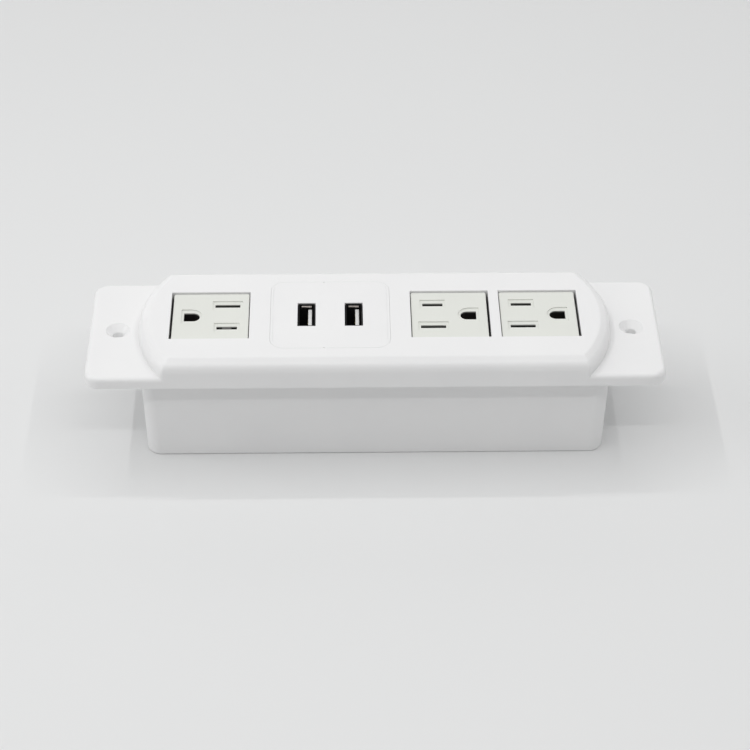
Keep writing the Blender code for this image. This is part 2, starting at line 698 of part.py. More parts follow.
def housing_mesh():
    """The housing: a block with a spigot, a cell for each contact and a slot for each tail."""
    bm = bmesh.new()
    add_centred_block(bm, FACE_X, 0, FACE_LENGTH, LEDGE_SPAN, HOUSING_BOTTOM, HOUSING_TOP)
    housing = piece("outlet_housing", mesh_of(bm, "outlet_housing"), HOUSING_PLASTIC)
    spigot = bmesh.new()
    size = (FACE_LENGTH - 2 * SPIGOT_INSET, FACE_WIDTH - 2 * SPIGOT_INSET)
    add_centred_block(spigot, FACE_X, 0, *size, HOUSING_TOP - EMBED, SPIGOT_TOP)
    shape(housing, "UNION", "housing_spigot", spigot)
    cells = bmesh.new()
    tails = bmesh.new()
    floor = HOUSING_BOTTOM + HOUSING_FLOOR
    above = SPIGOT_TOP + BEYOND
    below = HOUSING_BOTTOM - BEYOND
    tail_width = TAIL_THICKNESS + 2 * GAP
    for y, slot in ((BLADE_Y, HOT_SLOT), (-BLADE_Y, NEUTRAL_SLOT)):
        length = blade_contact_length(slot) + 2 * GAP
        add_centred_block(cells, BLADE_X, y, length, 2 * blade_reach(), floor, above)
        add_centred_block(tails, BLADE_X, y, length, tail_width, below, floor + BEYOND)
    add_centred_block(cells, GROUND_X, 0, GROUND_LENGTH, 2 * pin_reach(), floor, above)
    add_centred_block(tails, GROUND_X, 0, GROUND_LENGTH, tail_width, below, floor + BEYOND)
    shape(housing, "DIFFERENCE", "contact_cells", cells)
    shape(housing, "DIFFERENCE", "tail_slots", tails)
    return taken(housing)


def contact_mesh(name, x, y, length, mouth, throat, belly):
    """A contact: two sprung leaves that nearly meet at the throat, on a tail for the wires."""
    inner = [
        (mouth / 2, CONTACT_TOP),
        (throat / 2, CONTACT_TOP - FLARE_HEIGHT),
        (belly / 2, CONTACT_TOP - FLARE_HEIGHT - THROAT_HEIGHT),
        (belly / 2, CONTACT_BASE + LEAF),
    ]
    outer = [
        (TAIL_THICKNESS / 2, TAIL_END),
        (TAIL_THICKNESS / 2, CONTACT_BASE),
        (belly / 2 + LEAF, CONTACT_BASE),
        (belly / 2 + LEAF, CONTACT_TOP - FLARE_HEIGHT - THROAT_HEIGHT),
        (throat / 2 + LEAF, CONTACT_TOP - FLARE_HEIGHT),
        (mouth / 2 + LEAF, CONTACT_TOP),
    ]
    half = outer + inner
    outline = half + [(-across, height) for across, height in reversed(half)]
    bm = bmesh.new()
    start = x - length / 2
    face = bm.faces.new([bm.verts.new((start, y + across, height)) for across, height in outline])
    grown = bmesh.ops.extrude_face_region(bm, geom=[face])["geom"]
    moved = [item for item in grown if isinstance(item, bmesh.types.BMVert)]
    bmesh.ops.translate(bm, verts=moved, vec=(length, 0, 0))
    bmesh.ops.triangulate(bm, faces=bm.faces)
    return mesh_of(bm, name)


def make_outlets():
    blade = (BLADE_MOUTH, BLADE_THROAT, BLADE_BELLY)
    pin = (PIN_MOUTH, PIN_THROAT, PIN_BELLY)
    hot = blade_contact_length(HOT_SLOT)
    neutral = blade_contact_length(NEUTRAL_SLOT)
    ground = GROUND_LENGTH - 2 * GAP
    meshes = {
        "outlet_face": face_mesh(),
        "outlet_housing": housing_mesh(),
        "hot_contact": contact_mesh("hot_contact", BLADE_X, BLADE_Y, hot, *blade),
        "neutral_contact": contact_mesh("neutral_contact", BLADE_X, -BLADE_Y, neutral, *blade),
        "ground_contact": contact_mesh("ground_contact", GROUND_X, 0, ground, *pin),
    }
    for name, (x, way) in OUTLETS.items():
        place = bpy.data.objects.new(name + "_outlet", None)
        place.location = (x, 0, 0)
        place.rotation_euler = (0, 0, 0 if way > 0 else math.pi)
        PARTS.objects.link(place)
        for kind, mesh in meshes.items():
            made = bpy.data.objects.new(f"{name}_{kind}", mesh)
            made.parent = place
            PARTS.objects.link(made)
            if not mesh.materials:
                mesh.materials.append(BRASS)


# The USB supply.


def skirt_size():
    """Length and width of the wall under the panel that goes round both ports."""
    length = PORT_SPACING + PORT_WIDTH + 2 * (SKIRT_MARGIN + SKIRT_WALL)
    width = PORT_LENGTH + 2 * (SKIRT_MARGIN + SKIRT_WALL)
    return length, width


def port_places():
    return {"left": USB_X - PORT_SPACING / 2, "right": USB_X + PORT_SPACING / 2}


def make_panel():
    bottom = TOP - PANEL_THICKNESS
    bm = rounded_block(
        PANEL_LENGTH - 2 * GAP, PANEL_WIDTH - 2 * GAP, bottom, TOP, PANEL_CORNER - GAP
    )
    bmesh.ops.translate(bm, verts=bm.verts, vec=(USB_X, 0, 0))
    panel = piece("usb_panel", mesh_of(bm, "usb_panel"), WHITE_ABS)
    length, width = skirt_size()
    skirt = bmesh.new()
    skirt_bottom = bottom - SKIRT_DEPTH
    embed = PANEL_THICKNESS / 3
    add_centred_block(skirt, USB_X, 0, length, width, skirt_bottom, bottom + embed)
    shape(panel, "UNION", "skirt", skirt)
    inside = bmesh.new()
    clear = (length - 2 * SKIRT_WALL, width - 2 * SKIRT_WALL)
    add_centred_block(inside, USB_X, 0, *clear, skirt_bottom - BEYOND, bottom)
    shape(panel, "DIFFERENCE", "skirt_inside", inside)
    holes = bmesh.new()
    for x in port_places().values():
        add_centred_block(holes, x, 0, PORT_WIDTH, PORT_LENGTH, bottom - BEYOND, TOP + BEYOND)
    shape(panel, "DIFFERENCE", "port_holes", holes)


def make_port(side, x):
    """A port: a thin metal shell with two springs, and an insulator that carries the tongue."""
    length = PORT_LENGTH - 2 * GAP
    width = PORT_WIDTH - 2 * GAP
    bm = bmesh.new()
    add_centred_block(bm, x, 0, width, length, SHELL_BOTTOM, SHELL_TOP)
    shell = piece(f"{side}_usb_shell", mesh_of(bm, "usb_shell"), PORT_STEEL)
    inside = bmesh.new()
    clear_length = length - 2 * SHELL_WALL
    clear_width = width - 2 * SHELL_WALL
    ends = (SHELL_BOTTOM - BEYOND, SHELL_TOP + BEYOND)
    add_centred_block(inside, x, 0, clear_width, clear_length, *ends)
    shape(shell, "DIFFERENCE", f"{side}_shell_inside", inside)
    springs = bmesh.new()
    for end in (-1, 1):
        y = end * (clear_length - SPRING_RISE) / 2 + end * SHELL_WALL / 4
        top = SHELL_TOP - SPRING_DROP
        depth = SPRING_RISE + SHELL_WALL / 2
        add_centred_block(springs, x, y, SPRING_WIDTH, depth, top - SPRING_HEIGHT, top)
    shape(shell, "UNION", f"{side}_shell_springs", springs)

    block = bmesh.new()
    foot = SHELL_BOTTOM
    size = (clear_width - 2 * GAP, clear_length - 2 * GAP)
    add_centred_block(block, x, 0, *size, foot, foot + INSULATOR_HEIGHT)
    tongue = piece(f"{side}_usb_tongue", mesh_of(block, "usb_tongue"), TONGUE_PLASTIC)
    blade = bmesh.new()
    blade_x = x + clear_width / 2 - TONGUE_OFFSET - TONGUE_THICKNESS / 2
    blade_foot = foot + INSULATOR_HEIGHT / 2
    top = TOP - TONGUE_SUNK
    add_centred_block(blade, blade_x, 0, TONGUE_THICKNESS, TONGUE_WIDTH, blade_foot, top)
    shape(tongue, "UNION", f"{side}_tongue_blade", blade)


def make_board():
    bm = bmesh.new()
    add_centred_block(bm, USB_X, 0, BOARD_LENGTH, BOARD_WIDTH, BOARD_BOTTOM, BOARD_TOP)
    board = piece("usb_circuit_board", mesh_of(bm, "usb_circuit_board"), BOARD_RESIN)
    holes = bmesh.new()
    for side, x in (("left", USB_X - BOARD_SCREW_X), ("right", USB_X + BOARD_SCREW_X)):
        through = (BOARD_BOTTOM - BEYOND, BOARD_TOP + BEYOND)
        add_cylinder(holes, x, 0, BOARD_SCREW_RADIUS + GAP, *through, sides=16)
        place = (x, 0, BOARD_BOTTOM - GAP)
        head = (BOARD_SCREW_HEAD_RADIUS, BOARD_SCREW_HEAD_HEIGHT)
        make_screw(f"{side}_board_screw", place, BOARD_SCREW_RADIUS, BOARD_SCREW_LENGTH, *head)
    shape(board, "DIFFERENCE", "board_holes", holes)


def usb_lead_end_x():
    """Where the two leads meet the board, near its left end."""
    return USB_X - BOARD_LENGTH / 2 + USB_LEAD_INSET


def transformer_x():
    """The transformer stands just right of the middle, to leave room for the fuse."""
    return USB_X + FUSE_RADIUS / 2


def make_transformer():
    """A core with two windows, and the coil round its middle leg."""
    x = transformer_x()
    bottom = COMPONENT_TOP - CORE_HEIGHT
    bm = bmesh.new()
    add_centred_block(bm, x, 0, CORE_LENGTH, CORE_THICKNESS, bottom, COMPONENT_TOP)
    core = piece("transformer_core", mesh_of(bm, "transformer_core"), FERRITE)
    windows = bmesh.new()
    window = (CORE_LENGTH - 4 * CORE_LEG) / 2
    window_x = CORE_LEG + window / 2
    floor = bottom + CORE_LEG
    ceiling = COMPONENT_TOP - CORE_LEG
    for side in (-1, 1):
        across = CORE_THICKNESS + 2 * BEYOND
        add_centred_block(windows, x + side * window_x, 0, window, across, floor, ceiling)
    shape(core, "DIFFERENCE", "core_windows", windows)

    ring_length = 2 * (CORE_LEG + GAP)
    ring_width = CORE_THICKNESS + 2 * GAP
    wound = min(COIL_THICKNESS, window - 2 * GAP)
    span = (floor + GAP, ceiling - GAP)
    outer_length = ring_length + 2 * wound
    bm = rounded_block(outer_length, ring_width + 2 * wound, *span, wound, steps=3)
    bmesh.ops.translate(bm, verts=bm.verts, vec=(x, 0, 0))
    coil = piece("transformer_coil", mesh_of(bm, "transformer_coil"), COIL_TAPE)
    hole = bmesh.new()
    through = (span[0] - BEYOND, span[1] + BEYOND)
    add_centred_block(hole, x, 0, ring_length, ring_width, *through)
    shape(coil, "DIFFERENCE", "coil_hole", hole)


def make_capacitor(name, x, y, radius, height):
    """A can that hangs from the board, with the crimp of its seal near the top."""
    crimp = CAPACITOR_CRIMP
    profile = [
        (0, 0),
        (radius, 0),
        (radius, -2 * crimp),
        (radius - crimp, -3 * crimp),
        (radius, -4 * crimp),
        (radius, -height + crimp),
        (radius - crimp, -height),
        (0, -height),
    ]
    turned(name, profile, CAN_SLEEVE, steps=16, place=(x, y, COMPONENT_TOP))


def make_small_component(name, x, y, size, finish):
    length, width, height = size
    corner = width / 8
    bm = rounded_block(length, width, COMPONENT_TOP - height, COMPONENT_TOP, corner, steps=2)
    piece(name, mesh_of(bm, name), finish, place=(x, y, 0))


def make_components():
    """The parts under the board: two rows beside the transformer, and the fuse between the left ones."""
    make_transformer()
    row_y = BOARD_WIDTH / 2 - INPUT_CAPACITOR_RADIUS - 2 * BOARD_THICKNESS
    left_x = usb_lead_end_x() + WIRE_RADIUS + 3 * GAP + FILM_CAPACITOR[0] / 2
    right_x = USB_X + BOARD_SCREW_X - BOARD_SCREW_HEAD_RADIUS - OUTPUT_CAPACITOR_RADIUS
    make_capacitor(
        "input_capacitor", left_x, row_y, INPUT_CAPACITOR_RADIUS, INPUT_CAPACITOR_HEIGHT
    )
    make_capacitor(
        "output_capacitor", right_x, row_y, OUTPUT_CAPACITOR_RADIUS, OUTPUT_CAPACITOR_HEIGHT
    )
    make_small_component("film_capacitor", left_x, -row_y, FILM_CAPACITOR, FILM_CASE)
    make_small_component("bridge_rectifier", right_x, -row_y, RECTIFIER, CHIP_RESIN)
    chip_y = BOARD_WIDTH / 2 - CHIP[1] / 2 - BOARD_THICKNESS
    make_small_component("controller_chip", transformer_x(), chip_y, CHIP, CHIP_RESIN)
    cap = FUSE_CAP_LENGTH
    waist = FUSE_RADIUS - FUSE_WAIST
    profile = [
        (0, FUSE_LENGTH / 2),
        (FUSE_RADIUS, FUSE_LENGTH / 2),
        (FUSE_RADIUS, FUSE_LENGTH / 2 - cap),
        (waist, FUSE_LENGTH / 2 - cap),
        (waist, cap - FUSE_LENGTH / 2),
        (FUSE_RADIUS, cap - FUSE_LENGTH / 2),
        (FUSE_RADIUS, -FUSE_LENGTH / 2),
        (0, -FUSE_LENGTH / 2),
    ]
    fuse_x = transformer_x() - CORE_LENGTH / 2 - FUSE_RADIUS - BOARD_THICKNESS
    place = (fuse_x, 0, COMPONENT_TOP - FUSE_RADIUS)
    fuse = turned("fuse", profile, FUSE_BODY, steps=16, place=place)
    fuse.rotation_euler = (math.pi / 2, 0, 0)


# The wires.


def tail_point(outlet, contact, side):
    """Where a wire meets a contact's tail: just under it, left or right of its middle."""
    centre, way = OUTLETS[outlet]
    x, y = {
        "hot": (BLADE_X, BLADE_Y),
        "neutral": (BLADE_X, -BLADE_Y),
        "ground": (GROUND_X, 0),
    }[contact]
    return Vector((centre + way * x + side * WIRE_OFFSET, way * y, TAIL_END - GAP))


def rounded_route(corners, bend, steps=4):
    """The points of a route through the corners, with each inner corner turned into a curve."""
    points = [corners[0]]
    for before, corner, after in zip(corners, corners[1:], corners[2:]):
        reach = min(bend, (corner - before).length / 2, (after - corner).length / 2)
        start = corner + (before - corner).normalized() * reach
        end = corner + (after - corner).normalized() * reach
        for step in range(steps + 1):
            share = step / steps
            first = start.lerp(corner, share)
            second = corner.lerp(end, share)
            points.append(first.lerp(second, share))
    return points + [corners[-1]]


def make_wire(name, corners, finish):
    curve = bpy.data.curves.new(name, "CURVE")
    curve.dimensions = "3D"
    curve.bevel_depth = WIRE_RADIUS
    curve.bevel_resolution = 2
    curve.use_fill_caps = True
    route = rounded_route(corners, WIRE_BEND)
    spline = curve.splines.new("POLY")
    spline.points.add(len(route) - 1)
    for point, place in zip(spline.points, route):
        point.co = (*place, 1)
    curve.materials.append(finish)
    made = bpy.data.objects.new(name, curve)
    PARTS.objects.link(made)


def link_corners(start, end, level):
    """Down from one tail, along at the wire's own level, and up to the next tail."""
    step = Vector((2 * WIRE_BEND, 0, 0))
    down = Vector((start.x, start.y, level))
    up = Vector((end.x, end.y, level))
    return [start, down, down + step, up - step, up, end]


def usb_lead_corners(contact):
    """From a tail of the left outlet out to the side, along under the housing and up to the board."""
    start = tail_point("left", contact, -1)
    side = math.copysign(1, start.y)
    level = start.z - USB_LEAD_RISE - WIRE_RADIUS
    lane = start.y + side * USB_LEAD_DRIFT
    end_x = usb_lead_end_x()
    return [
        start,
        Vector((start.x, start.y, level)),
        Vector((start.x, lane, level)),
        Vector((end_x, lane, level)),
        Vector((end_x, lane, COMPONENT_TOP)),
    ]


def make_wires():
    finishes = {"hot": BLACK_WIRE, "neutral": WHITE_WIRE, "ground": GREEN_WIRE}
    levels = {"hot": 0, "ground": 1, "neutral": 2}
    for contact, finish in finishes.items():
        level = LOWEST_WIRE + levels[contact] * WIRE_PITCH
        for first, second in (("left", "middle"), ("middle", "right")):
            start = tail_point(first, contact, 1)
            end = tail_point(second, contact, -1)
            name = f"{contact}_wire_{first}_to_{second}"
            make_wire(name, link_corners(start, end, level), finish)
    for contact in ("hot", "neutral"):
        make_wire(f"usb_{contact}_lead", usb_lead_corners(contact), finishes[contact])


make_faceplate()
make_box()
make_case_screws()
make_bushing()
make_outlets()
make_panel()
for port_side, port_x in port_places().items():
    make_port(port_side, port_x)
make_board()
make_components()
make_wires()
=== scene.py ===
import math

import bmesh
import bpy
from mathutils import Matrix, Vector


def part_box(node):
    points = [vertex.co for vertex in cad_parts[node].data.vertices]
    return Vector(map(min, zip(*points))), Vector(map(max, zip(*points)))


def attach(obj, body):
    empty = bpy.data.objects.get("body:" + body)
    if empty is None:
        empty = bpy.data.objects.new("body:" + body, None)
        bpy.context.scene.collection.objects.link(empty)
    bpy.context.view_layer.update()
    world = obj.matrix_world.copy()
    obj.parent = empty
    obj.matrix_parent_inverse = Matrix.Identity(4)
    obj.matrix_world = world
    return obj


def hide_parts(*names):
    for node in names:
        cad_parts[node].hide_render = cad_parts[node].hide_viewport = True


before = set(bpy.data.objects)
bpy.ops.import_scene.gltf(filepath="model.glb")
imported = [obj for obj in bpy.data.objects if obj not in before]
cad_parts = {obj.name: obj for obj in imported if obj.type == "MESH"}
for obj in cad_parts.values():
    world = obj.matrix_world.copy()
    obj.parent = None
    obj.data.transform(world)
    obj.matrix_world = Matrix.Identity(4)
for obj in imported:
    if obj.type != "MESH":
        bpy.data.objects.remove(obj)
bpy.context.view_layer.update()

# ---------------------------------------------------------------------------------------------------------
# The view: a short telephoto look down on the strip from the front, the strip a little left of the middle.
# Its place and turns were worked out from the outlets and the corners of the faceplate.
# ---------------------------------------------------------------------------------------------------------
CAMERA_PLACE = Vector((-0.01203, -0.66208, 0.53376))
CAMERA_YAW = -0.01842
CAMERA_PITCH = 0.6617
CAMERA_ROLL = 0.0040
FOCAL_LENGTH_MM = 113.65
SENSOR_WIDTH_MM = 36

lens = bpy.data.cameras.new("camera")
lens.lens = FOCAL_LENGTH_MM
lens.sensor_width = SENSOR_WIDTH_MM
lens.clip_start = 0.01
camera = bpy.data.objects.new("camera", lens)
camera.matrix_world = (
    Matrix.Translation(CAMERA_PLACE)
    @ Matrix.Rotation(CAMERA_YAW, 4, "Z")
    @ Matrix.Rotation(math.pi / 2 - CAMERA_PITCH, 4, "X")
    @ Matrix.Rotation(CAMERA_ROLL, 4, "Z")
)
scene = bpy.context.scene
scene.collection.objects.link(camera)
scene.camera = camera
scene.view_settings.view_transform = "Standard"


# ---------------------------------------------------------------------------------------------------------
# Surfaces: every finish is a Principled shader whose colour, roughness and relief come from patterns in the
# piece's own coordinates. A Flow is one socket; arithmetic on it adds the Math nodes.
# ---------------------------------------------------------------------------------------------------------
class Flow:
    """A socket of a material's nodes. Sums and products of it are Math nodes."""

    def __init__(self, tree, socket=None):
        self.tree = tree
        self.socket = socket

    def node(self, kind, inputs=None, output=0, stops=(), **settings):
        """Adds a node: its settings and ramp stops first, then a value or a link for each input."""
        made = self.tree.nodes.new(kind)
        for name, value in settings.items():
            setattr(made, name, value)
        for index, (place, shade) in enumerate(stops):
            ramp = made.color_ramp.elements
            stop = ramp[index] if index < len(ramp) else ramp.new(place)
            stop.position = place
            stop.color = (shade, shade, shade, 1)
        for name, value in (inputs or {}).items():
            if isinstance(value, Flow):
                self.tree.links.new(value.socket, made.inputs[name])
            else:
                made.inputs[name].default_value = value
        return Flow(self.tree, made.outputs[output])

    def maths(self, operation, *values):
        return self.node("ShaderNodeMath", dict(enumerate(values)), operation=operation)

    def __add__(self, other):
        return self.maths("ADD", self, other)

    __radd__ = __add__

    def __sub__(self, other):
        return self.maths("SUBTRACT", self, other)

    def __rsub__(self, other):
        return self.maths("SUBTRACT", other, self)

    def __mul__(self, other):
        return self.maths("MULTIPLY", self, other)

    __rmul__ = __mul__

    def noise(self, scale, detail=2.0):
        """Smooth noise about 0.5, whose lumps are about a metre over the scale."""
        inputs = {"Vector": self, "Scale": scale, "Detail": detail}
        return self.node("ShaderNodeTexNoise", inputs)

    def ramp(self, *stops):
        return self.node("ShaderNodeValToRGB", {"Fac": self}, stops=stops)

    def tint(self, first, second):
        """From the first colour to the second as this goes from 0 to 1."""
        inputs = {0: self, 6: (*first, 1), 7: (*second, 1)}
        return self.node("ShaderNodeMix", inputs, output=2, data_type="RGBA")

    def relief(self, distance, strength=1.0):
        """A Bump node that raises the surface by this, times the distance in metres."""
        inputs = {"Height": self, "Distance": distance, "Strength": strength}
        return self.node("ShaderNodeBump", inputs)


def finish(name, look):
    """A material whose Principled inputs are what look gives for the piece's Object coordinates."""
    made = bpy.data.materials.new(name)
    made.use_nodes = True
    tree = made.node_tree
    shader = tree.nodes["Principled BSDF"]
    place = Flow(tree).node("ShaderNodeTexCoord", output=3)
    for key, value in look(place).items():
        if isinstance(value, Flow):
            tree.links.new(value.socket, shader.inputs[key])
        else:
            shader.inputs[key].default_value = value
    return made


def moulded(light, dark, roughness, grain=0.000012, gloss=0.5):
    """Moulded plastic: a faint mottle, a fine tooled grain and uneven gloss."""

    def look(place):
        mottle = place.noise(35.0, 4.0)
        texture = place.noise(5200.0, 3.0)
        handled = place.noise(240.0, 3.0)
        return {
            "Base Color": mottle.ramp((0.35, 0.0), (0.65, 1.0)).tint(dark, light),
            "Roughness": roughness - 0.06 + 0.12 * handled,
            "Specular IOR Level": gloss,
            "Normal": texture.relief(grain),
        }

    return look


# ---------------------------------------------------------------------------------------------------------
# The table and the light: a pale paper sweep in a light tent. Four thin bars in a square round the tent's
# roof cast the layered shadow, one edge each, and the glow of its roof, back and sides fills it. The sweep's
# own colour makes the pale background.
# ---------------------------------------------------------------------------------------------------------
SWEEP = 8.0
PAPER = (0.765, 0.769, 0.769)
PAPER_SHADE = (0.745, 0.750, 0.750)
ROOM_GREY = 0.81
ROOM_STRENGTH = 0.42


def sweep_look(place):
    cloud = place.noise(1.6, 2.0)
    return {
        "Base Color": cloud.ramp((0.3, 0.0), (0.7, 1.0)).tint(PAPER_SHADE, PAPER),
        "Roughness": 0.9,
        "Specular IOR Level": 0.2,
    }


bm = bmesh.new()
bmesh.ops.create_grid(bm, x_segments=1, y_segments=1, size=SWEEP / 2)
floor_mesh = bpy.data.meshes.new("sweep")
bm.to_mesh(floor_mesh)
bm.free()
floor_mesh.materials.append(finish("pale_paper", sweep_look))
floor = bpy.data.objects.new("sweep", floor_mesh)
scene.collection.objects.link(floor)

# Each lamp: its place, the point it faces, its level length, its other side, and its watts.
LAMPS = {
    "left_bar": ((-0.393, -0.09, 0.807), (0, -0.09, 0.02), 0.80, 0.016, 1.20),
    "right_bar": ((0.393, -0.09, 0.807), (0, -0.09, 0.02), 0.80, 0.016, 0.74),
    "front_bar": ((0, -0.489, 0.807), (0, -0.02, 0.02), 0.79, 0.016, 1.27),
    "back_bar": ((0, 0.310, 0.807), (0, -0.02, 0.02), 0.79, 0.016, 0.91),
    "roof": ((0, -0.05, 0.85), (0, -0.05, 0), 0.75, 0.75, 0.65),
    "back_wall": ((0, 0.9, 0.4), (0, 0, 0.4), 1.6, 0.8, 2.35),
    "left_wall": ((-0.9, -0.05, 0.6), (0, -0.05, 0.6), 0.8, 1.2, 3.5),
    "right_wall": ((0.9, -0.05, 0.6), (0, -0.05, 0.6), 0.8, 1.2, 1.35),
}
for name, (place, faced, length, width, watts) in LAMPS.items():
    lamp = bpy.data.lights.new(name, "AREA")
    lamp.shape = "RECTANGLE"
    lamp.size, lamp.size_y = length, width
    lamp.energy = watts
    stand = bpy.data.objects.new(name, lamp)
    aim = (Vector(faced) - Vector(place)).to_track_quat("-Z", "Y")
    stand.matrix_world = Matrix.Translation(place) @ aim.to_matrix().to_4x4()
    scene.collection.objects.link(stand)

world = bpy.data.worlds.new("room")
world.use_nodes = True
background = world.node_tree.nodes["Background"]
background.inputs["Color"].default_value = (ROOM_GREY, ROOM_GREY, ROOM_GREY, 1)
background.inputs["Strength"].default_value = ROOM_STRENGTH
scene.world = world

# ---------------------------------------------------------------------------------------------------------
# The box: a drafted tub of white plastic that hangs under the faceplate, moulded in one with its bosses.
# Four screws come up through counterbores in its floor, and the cord goes in through its rear wall.
# ---------------------------------------------------------------------------------------------------------
WHITE = (0.838, 0.838, 0.838)
WHITE_SHADE = (0.820, 0.820, 0.822)
BOX_WALL = 0.0022
BOX_FLOOR = 0.0024
BOX_CORNER = 0.005
BOX_EDGE_ROUND = 0.0007
BOX_DRAFT = math.radians(1.6)
COUNTERBORE = 0.0031
COUNTERBORE_DEPTH = 0.003
SCREW_PASSAGE = 0.0018
BOSS = 0.0043
BOSS_TOP = 0.0068
INLET = 0.0059
EDGE_BREAK = 0.00018
SAME_PLACE = 1e-6
MERGE_DISTANCE = 2e-6
FLAT_ANGLE = math.radians(0.4)


def block(bm, low, high):
    """Adds a plain block between two corners, and gives its points."""
    low, high = Vector(low), Vector(high)
    frame_of_block = Matrix.Translation((low + high) / 2) @ Matrix.Diagonal((*(high - low), 1))
    return bmesh.ops.create_cube(bm, size=1, matrix=frame_of_block)["verts"]


def peg(bm, x, y, radius, bottom, top, top_radius=None, sides=64):
    """Adds an upright cylinder or cone."""
    bmesh.ops.create_cone(
        bm,
        cap_ends=True,
        segments=sides,
        radius1=radius,
        radius2=radius if top_radius is None else top_radius,
        depth=top - bottom,
        matrix=Matrix.Translation((x, y, (bottom + top) / 2)),
    )


def rounded(bm, edges, radius, steps):
    """Rounds the edges off."""
    bmesh.ops.bevel(
        bm, geom=edges, offset=radius, segments=steps, profile=0.5, affect="EDGES", material=-1
    )


def upright(bm):
    """The form's vertical edges."""
    return [e for e in bm.edges if (e.verts[0].co - e.verts[1].co).to_2d().length < SAME_PLACE]


def at_height(bm, height):
    """The edges that lie level at this height."""
    return [e for e in bm.edges if all(abs(v.co.z - height) < SAME_PLACE for v in e.verts)]


def slab(low, high, corner, steps=10):
    """A block between two corners whose upright edges are rounded."""
    bm = bmesh.new()
    block(bm, low, high)
    rounded(bm, upright(bm), corner, steps)
    return bm


def mesh_from(name, bm):
    """Turns the form into a mesh with its faces outwards and its many-sided faces cut into triangles."""
    bmesh.ops.recalc_face_normals(bm, faces=bm.faces)
    bmesh.ops.triangulate(bm, faces=[face for face in bm.faces if len(face.verts) > 4])
    mesh = bpy.data.meshes.new(name)
    bm.to_mesh(mesh)
    bm.free()
    return mesh


def started(name, bm):
    """Puts the mesh in the scene as the first form of a piece."""
    piece = bpy.data.objects.new(name, mesh_from(name, bm))
    scene.collection.objects.link(piece)
    return piece


def settled(piece):
    """Makes the piece's modifiers part of its mesh."""
    bpy.context.view_layer.update()
    graph = bpy.context.evaluated_depsgraph_get()
    mesh = bpy.data.meshes.new_from_object(piece.evaluated_get(graph))
    piece.modifiers.clear()
    piece.data = mesh


def worked(piece, operation, bm):
    """Joins a tool of any number of solids to the piece, or cuts it away."""
    tool = started("tool", bm)
    modifier = piece.modifiers.new("tool", "BOOLEAN")
    modifier.operation = operation
    modifier.solver = "EXACT"
    modifier.object = tool
    settled(piece)
    bpy.data.objects.remove(tool)


def cleaned(piece):
    """Merges what the cuts left split, so that the flat faces are whole again."""
    bm = bmesh.new()
    bm.from_mesh(piece.data)
    bmesh.ops.remove_doubles(bm, verts=bm.verts, dist=MERGE_DISTANCE)
    bmesh.ops.dissolve_limit(
        bm, angle_limit=FLAT_ANGLE, verts=bm.verts, edges=bm.edges, use_dissolve_boundaries=False
    )
    bm.to_mesh(piece.data)
    bm.free()


def dressed(piece, material, slot, *nodes, edge=0.0, edge_steps=2, sharp=32.0):
    """The last of a piece: its broken edges, its smooth shading, its finish and what it stands for."""
    if edge:
        cleaned(piece)
        modifier = piece.modifiers.new("edges", "BEVEL")
        modifier.width = edge
        modifier.segments = edge_steps
        modifier.limit_method = "ANGLE"
        modifier.angle_limit = math.radians(sharp)
        modifier.use_clamp_overlap = True
        modifier.harden_normals = False
        settled(piece)
    piece.data.shade_smooth()
    piece.data.set_sharp_from_angle(angle=math.radians(sharp))
    modifier = piece.modifiers.new("flat faces lead", "WEIGHTED_NORMAL")
    modifier.keep_sharp = True
    settled(piece)
    piece.data.name = piece.name
    piece.data.materials.clear()
    piece.data.materials.append(material)
    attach(piece, "root")
    if nodes:
        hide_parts(*nodes)


white_box = finish("white_box_plastic", moulded(WHITE, WHITE_SHADE, 0.50))

box_low, box_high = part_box("under_box")
screw_low, screw_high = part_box("case_screw_rear_right")
screw_x = (screw_low.x + screw_high.x) / 2
screw_y = (screw_low.y + screw_high.y) / 2
SCREW_PLACES = [(x, y) for x in (-screw_x, screw_x) for y in (-screw_y, screw_y)]
bushing_low, bushing_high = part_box("cord_inlet_bushing")
INLET_X = (bushing_low.x + bushing_high.x) / 2
INLET_Z = (bushing_low.z + bushing_high.z) / 2


def drafted(bm, top):
    """Draws a tub's form in towards its floor."""
    for vert in bm.verts:
        inset = max(0.0, top - vert.co.z) * math.tan(BOX_DRAFT)
        vert.co.x -= math.copysign(inset, vert.co.x)
        vert.co.y -= math.copysign(inset, vert.co.y)


bm = slab(box_low, box_high, BOX_CORNER, 14)
rounded(bm, at_height(bm, 0), BOX_EDGE_ROUND, 4)
drafted(bm, box_high.z)
tub = started("box", bm)
wall = Vector((BOX_WALL, BOX_WALL, 0))
bm = slab(box_low + wall + Vector((0, 0, BOX_FLOOR)), box_high - wall, BOX_CORNER - BOX_WALL, 8)
drafted(bm, box_high.z)
for vert in {v for e in at_height(bm, box_high.z) for v in e.verts}:
    vert.co.z += BOX_WALL
worked(tub, "DIFFERENCE", bm)
bosses = bmesh.new()
counterbores = bmesh.new()
passages = bmesh.new()
for x, y in SCREW_PLACES:
    peg(bosses, x, y, BOSS, BOX_FLOOR / 2, BOSS_TOP, sides=40)
    peg(counterbores, x, y, COUNTERBORE, -BOX_FLOOR, COUNTERBORE_DEPTH)
    peg(passages, x, y, SCREW_PASSAGE, 0, BOSS_TOP + BOX_WALL, sides=40)
worked(tub, "UNION", bosses)
worked(tub, "DIFFERENCE", counterbores)
worked(tub, "DIFFERENCE", passages)
inlet = bmesh.new()
peg(inlet, 0, 0, INLET, -2 * BOX_WALL, 2 * BOX_WALL)
turned_back = Matrix.Translation((INLET_X, box_high.y, INLET_Z)) @ Matrix.Rotation(math.pi / 2, 4, "X")
bmesh.ops.transform(inlet, matrix=turned_back, verts=inlet.verts)
worked(tub, "DIFFERENCE", inlet)
dressed(tub, white_box, "white_abs", "under_box", edge=EDGE_BREAK)


